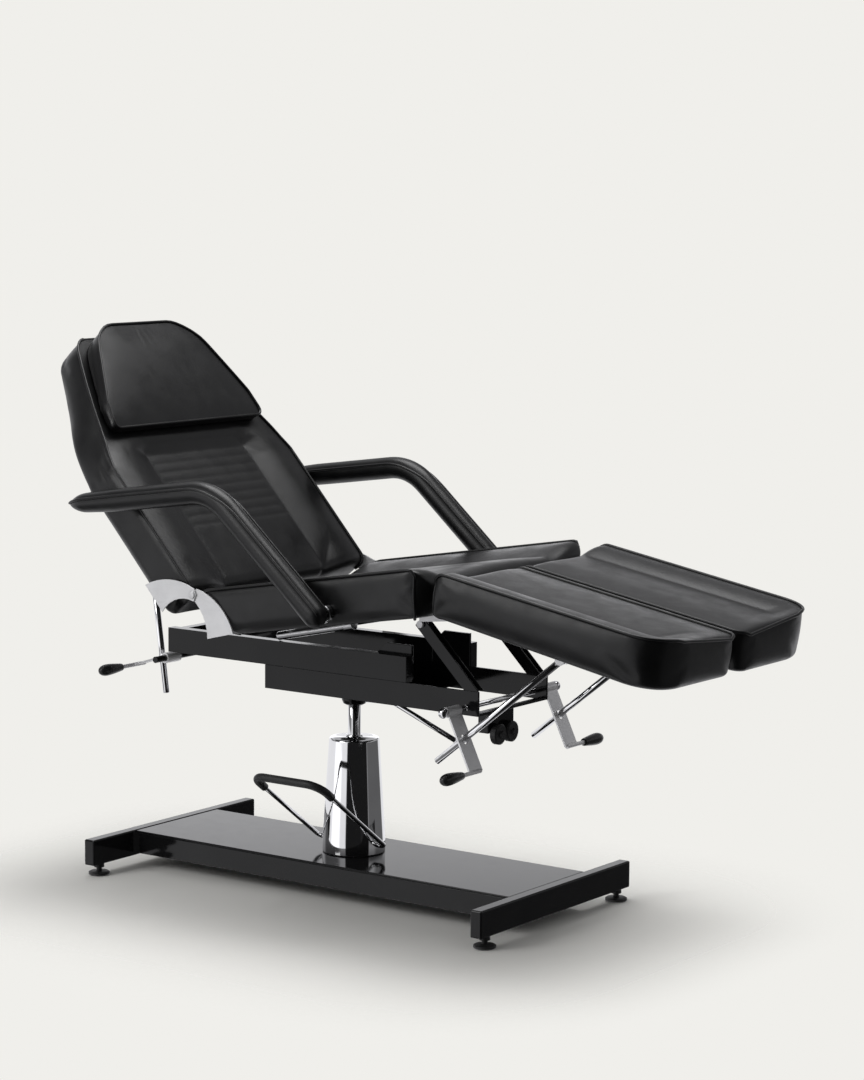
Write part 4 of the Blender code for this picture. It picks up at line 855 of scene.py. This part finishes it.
# Knobs of the release handles: the inner end's place and its Y
KNOB_RADIUS, KNOB_LENGTH = 0.0125, 0.070
KNOB_SHARES = ((0.0, 0.60), (0.04, 0.66), (0.22, 0.78), (0.40, 0.90), (0.55, 0.97), (0.68, 1.0), (0.78, 0.97),
               (0.87, 0.86), (0.94, 0.66), (0.98, 0.42), (1.0, 0.10))
KNOBS = (
    ("leg_release_knob_right", "leg_release_right", (0.4337, 0.3315), -0.220),
    ("leg_release_knob_left", "leg_release_left", (0.4337, 0.3315), 0.220),
    ("back_release_knob", "back_release", (-0.512, 0.442), -0.160),
)
knob_profile = [(KNOB_RADIUS * share, KNOB_LENGTH * along) for along, share in KNOB_SHARES]
for knob, body, end, y in KNOBS:
    form = (knob_profile, at(end, y), (0.0, math.copysign(1.0, y), 0.0))
    hang(turned(f"{knob}_smooth", [form], 32), body, KNOB, knob)

# Front cross rod with a ball at each end
CROSS_ROD, CROSS_HALF, CROSS_RADIUS = (0.374, 0.447), 0.2018, 0.006
BALL_RADIUS, BALL_POLE, BALL_STEP = 0.0108, 0.0002, math.radians(12.0)
ball = [(BALL_RADIUS * math.sin(BALL_STEP * i), BALL_RADIUS * math.cos(BALL_STEP * i)) for i in range(13)]
ball_end = [(max(r, BALL_POLE), CROSS_HALF + h) for r, h in ball if r > CROSS_RADIUS or h > 0.0]
neck = ball_end[-1][1]
cross_rod = ball_end + [(CROSS_RADIUS, neck), (CROSS_RADIUS, -neck)] + [(r, -h) for r, h in ball_end[::-1]]
chrome(turned("front_cross_rod_chrome", [(cross_rod, at(CROSS_ROD, 0.0), ACROSS)]), "seat_frame",
       "front_cross_rod")

# Pale floor that runs out into the background
BACKGROUND = (0.871, 0.863, 0.831)
FLOOR_MIDDLE, FLOOR_CORE, FLOOR_FADE = (0.09, 0.08, 0.0), (0.43, 0.25, 0.0), (0.05, 0.60)
FLOOR_REACH, FLOOR_SIDES, FLOOR_LEVEL = 1.70, 64, -0.0004
floor_mesh = bpy.data.meshes.new("floor")
floor_rim = circle(Vector(), Vector((1.0, 0.0, 0.0)), Vector((0.0, 1.0, 0.0)), FLOOR_REACH, FLOOR_SIDES)
floor_mesh.from_pydata([tuple(p) for p in floor_rim], [], [list(range(FLOOR_SIDES))])
floor = bpy.data.objects.new("floor", floor_mesh)
floor.location.z = FLOOR_LEVEL
floor.visible_glossy = False
scene.collection.objects.link(floor)
paper = Finish("pale_floor", BACKGROUND, 0.9, specular=0.1)
outside = paper.where
for operation, value in (("ADD", FLOOR_MIDDLE), ("ABSOLUTE", None), ("SUBTRACT", FLOOR_CORE),
                         ("MAXIMUM", (0.0, 0.0, 0.0))):
    sockets = {0: outside, 1: value} if value else {0: outside}
    outside = new_node(paper.tree, "ShaderNodeVectorMath", sockets, operation=operation).outputs["Vector"]
away = new_node(paper.tree, "ShaderNodeVectorMath", {0: outside}, operation="LENGTH").outputs["Value"]
clear = paper.tree.nodes.new("ShaderNodeBsdfTransparent").outputs["BSDF"]
faded = new_node(paper.tree, "ShaderNodeMixShader", {
    "Fac": map_range(paper.tree, away, *FLOOR_FADE), 1: paper.shader.outputs["BSDF"], 2: clear})
paper.tree.links.new(faded.outputs["Shader"], paper.tree.nodes["Material Output"].inputs["Surface"])
floor_mesh.materials.append(paper.mat)

# Room seen in reflections: bearing, half width and edge in degrees, level inside, and where it starts and
# ends, as sines of the height above the horizon
MIRRORED, FILL = (0.862, 0.862, 0.882), 0.30
ROOM_SECTORS = (
    (-40.0, 44.0, 3.0, 0.012, (-1.1, -1.0), (0.60, 0.85)),
    (42.0, 38.0, 5.0, 0.13, (-1.1, -1.0), (0.10, 0.26)),
    (72.0, 38.0, 14.0, 0.40, (0.14, 0.30), (0.90, 1.00)),
    (122.0, 30.0, 14.0, 0.50, (0.20, 0.34), (0.60, 0.80)),
    (-145.0, 36.0, 14.0, 0.25, (0.00, 0.12), (0.90, 1.00)),
    (-126.0, 16.0, 8.0, 1.60, (-0.34, -0.22), (-0.06, 0.04)),
    (-148.0, 22.0, 8.0, 0.20, (-1.1, -1.0), (-0.42, -0.24)),
    (128.0, 22.0, 10.0, 1.55, (0.00, 0.06), (0.18, 0.28)),
    (0.0, 75.0, 20.0, 0.30, (0.50, 0.70), (1.10, 1.20)),
)
world = bpy.data.worlds.new("studio")
scene.world = world
world.use_nodes = True
tree = world.node_tree
fill = tree.nodes["Background"]
fill.inputs["Color"].default_value = (1.0, 1.0, 1.0, 1.0)
fill.inputs["Strength"].default_value = FILL
sky = tree.nodes.new("ShaderNodeTexCoord").outputs["Generated"]
level = new_node(tree, "ShaderNodeVectorMath", {0: sky, 1: (1.0, 1.0, 0.0)}, operation="MULTIPLY")
heading = new_node(tree, "ShaderNodeVectorMath", {0: level.outputs["Vector"]}, operation="NORMALIZE")
height = new_node(tree, "ShaderNodeSeparateXYZ", {"Vector": sky}).outputs["Z"]


def times(a, b):
    return new_node(tree, "ShaderNodeMath", {0: a, 1: b}, operation="MULTIPLY").outputs["Value"]


def sector(bearing, half, edge, shade, bottom, top):
    """One where the room is open, and the sector's own level inside it."""
    bearing, half, edge = (math.radians(angle) for angle in (bearing, half, edge))
    towards = {0: heading.outputs["Vector"], 1: (math.cos(bearing), math.sin(bearing), 0.0)}
    along = new_node(tree, "ShaderNodeVectorMath", towards, operation="DOT_PRODUCT").outputs["Value"]
    inside = map_range(tree, along, math.cos(half + edge), math.cos(half - edge))
    below = map_range(tree, height, *top, 1.0, 0.0)
    above = map_range(tree, height, *bottom)
    return map_range(tree, times(times(inside, below), above), 0.0, 1.0, 1.0, shade)


room = reduce(times, [sector(*row) for row in ROOM_SECTORS])
rays = tree.nodes.new("ShaderNodeLightPath").outputs
bounced = new_node(tree, "ShaderNodeMath", {0: rays["Is Glossy Ray"], 1: rays["Is Transmission Ray"]},
                   operation="MAXIMUM").outputs["Value"]
seen = new_node(tree, "ShaderNodeBackground", {"Color": (*BACKGROUND, 1.0)}).outputs["Background"]
mirror = new_node(tree, "ShaderNodeBackground", {"Color": (*MIRRORED, 1.0), "Strength": room})
reflect = new_node(tree, "ShaderNodeMixShader", {
    "Fac": bounced, 1: fill.outputs["Background"], 2: mirror.outputs["Background"]})
choose = new_node(tree, "ShaderNodeMixShader", {
    "Fac": rays["Is Camera Ray"], 1: reflect.outputs["Shader"], 2: seen})
tree.links.new(choose.outputs["Shader"], tree.nodes["World Output"].inputs["Surface"])

# Soft lamps: place, aim, size and power in watts
LAMPS = (
    ("key", (-1.6, -3.2, 2.2), (0.2, 0.0, 0.6), (1.4, 1.8), 42.0),
    ("overhead", (-0.3, 0.5, 3.2), (0.0, 0.0, 0.3), (2.2, 1.8), 70.0),
)
for name, place, aim, size, power in LAMPS:
    light = bpy.data.lights.new(name, "AREA")
    light.shape = "RECTANGLE"
    light.size, light.size_y = size
    light.energy = power
    lamp = bpy.data.objects.new(name, light)
    lamp.location = place
    lamp.rotation_euler = (Vector(aim) - Vector(place)).to_track_quat("-Z", "Y").to_euler()
    scene.collection.objects.link(lamp)

# Camera at the photograph's viewing angle, with its focal length in pixels of the 1080 high picture
FOCAL_PIXELS, PICTURE_HEIGHT, SENSOR = 2992.882, 1080.0, 36.0
CAMERA_PLACE, CAMERA_TURN = (3.762763 + AXIS_X, -4.967899, 1.522132), (1.4468, -0.0079, 0.6234)
lens = bpy.data.cameras.new("camera")
lens.sensor_width = SENSOR
lens.lens = FOCAL_PIXELS / PICTURE_HEIGHT * SENSOR
camera = bpy.data.objects.new("camera", lens)
camera.location = CAMERA_PLACE
camera.rotation_euler = Euler(CAMERA_TURN, "XYZ")
scene.collection.objects.link(camera)
scene.camera = camera
scene.view_settings.view_transform = "Standard"
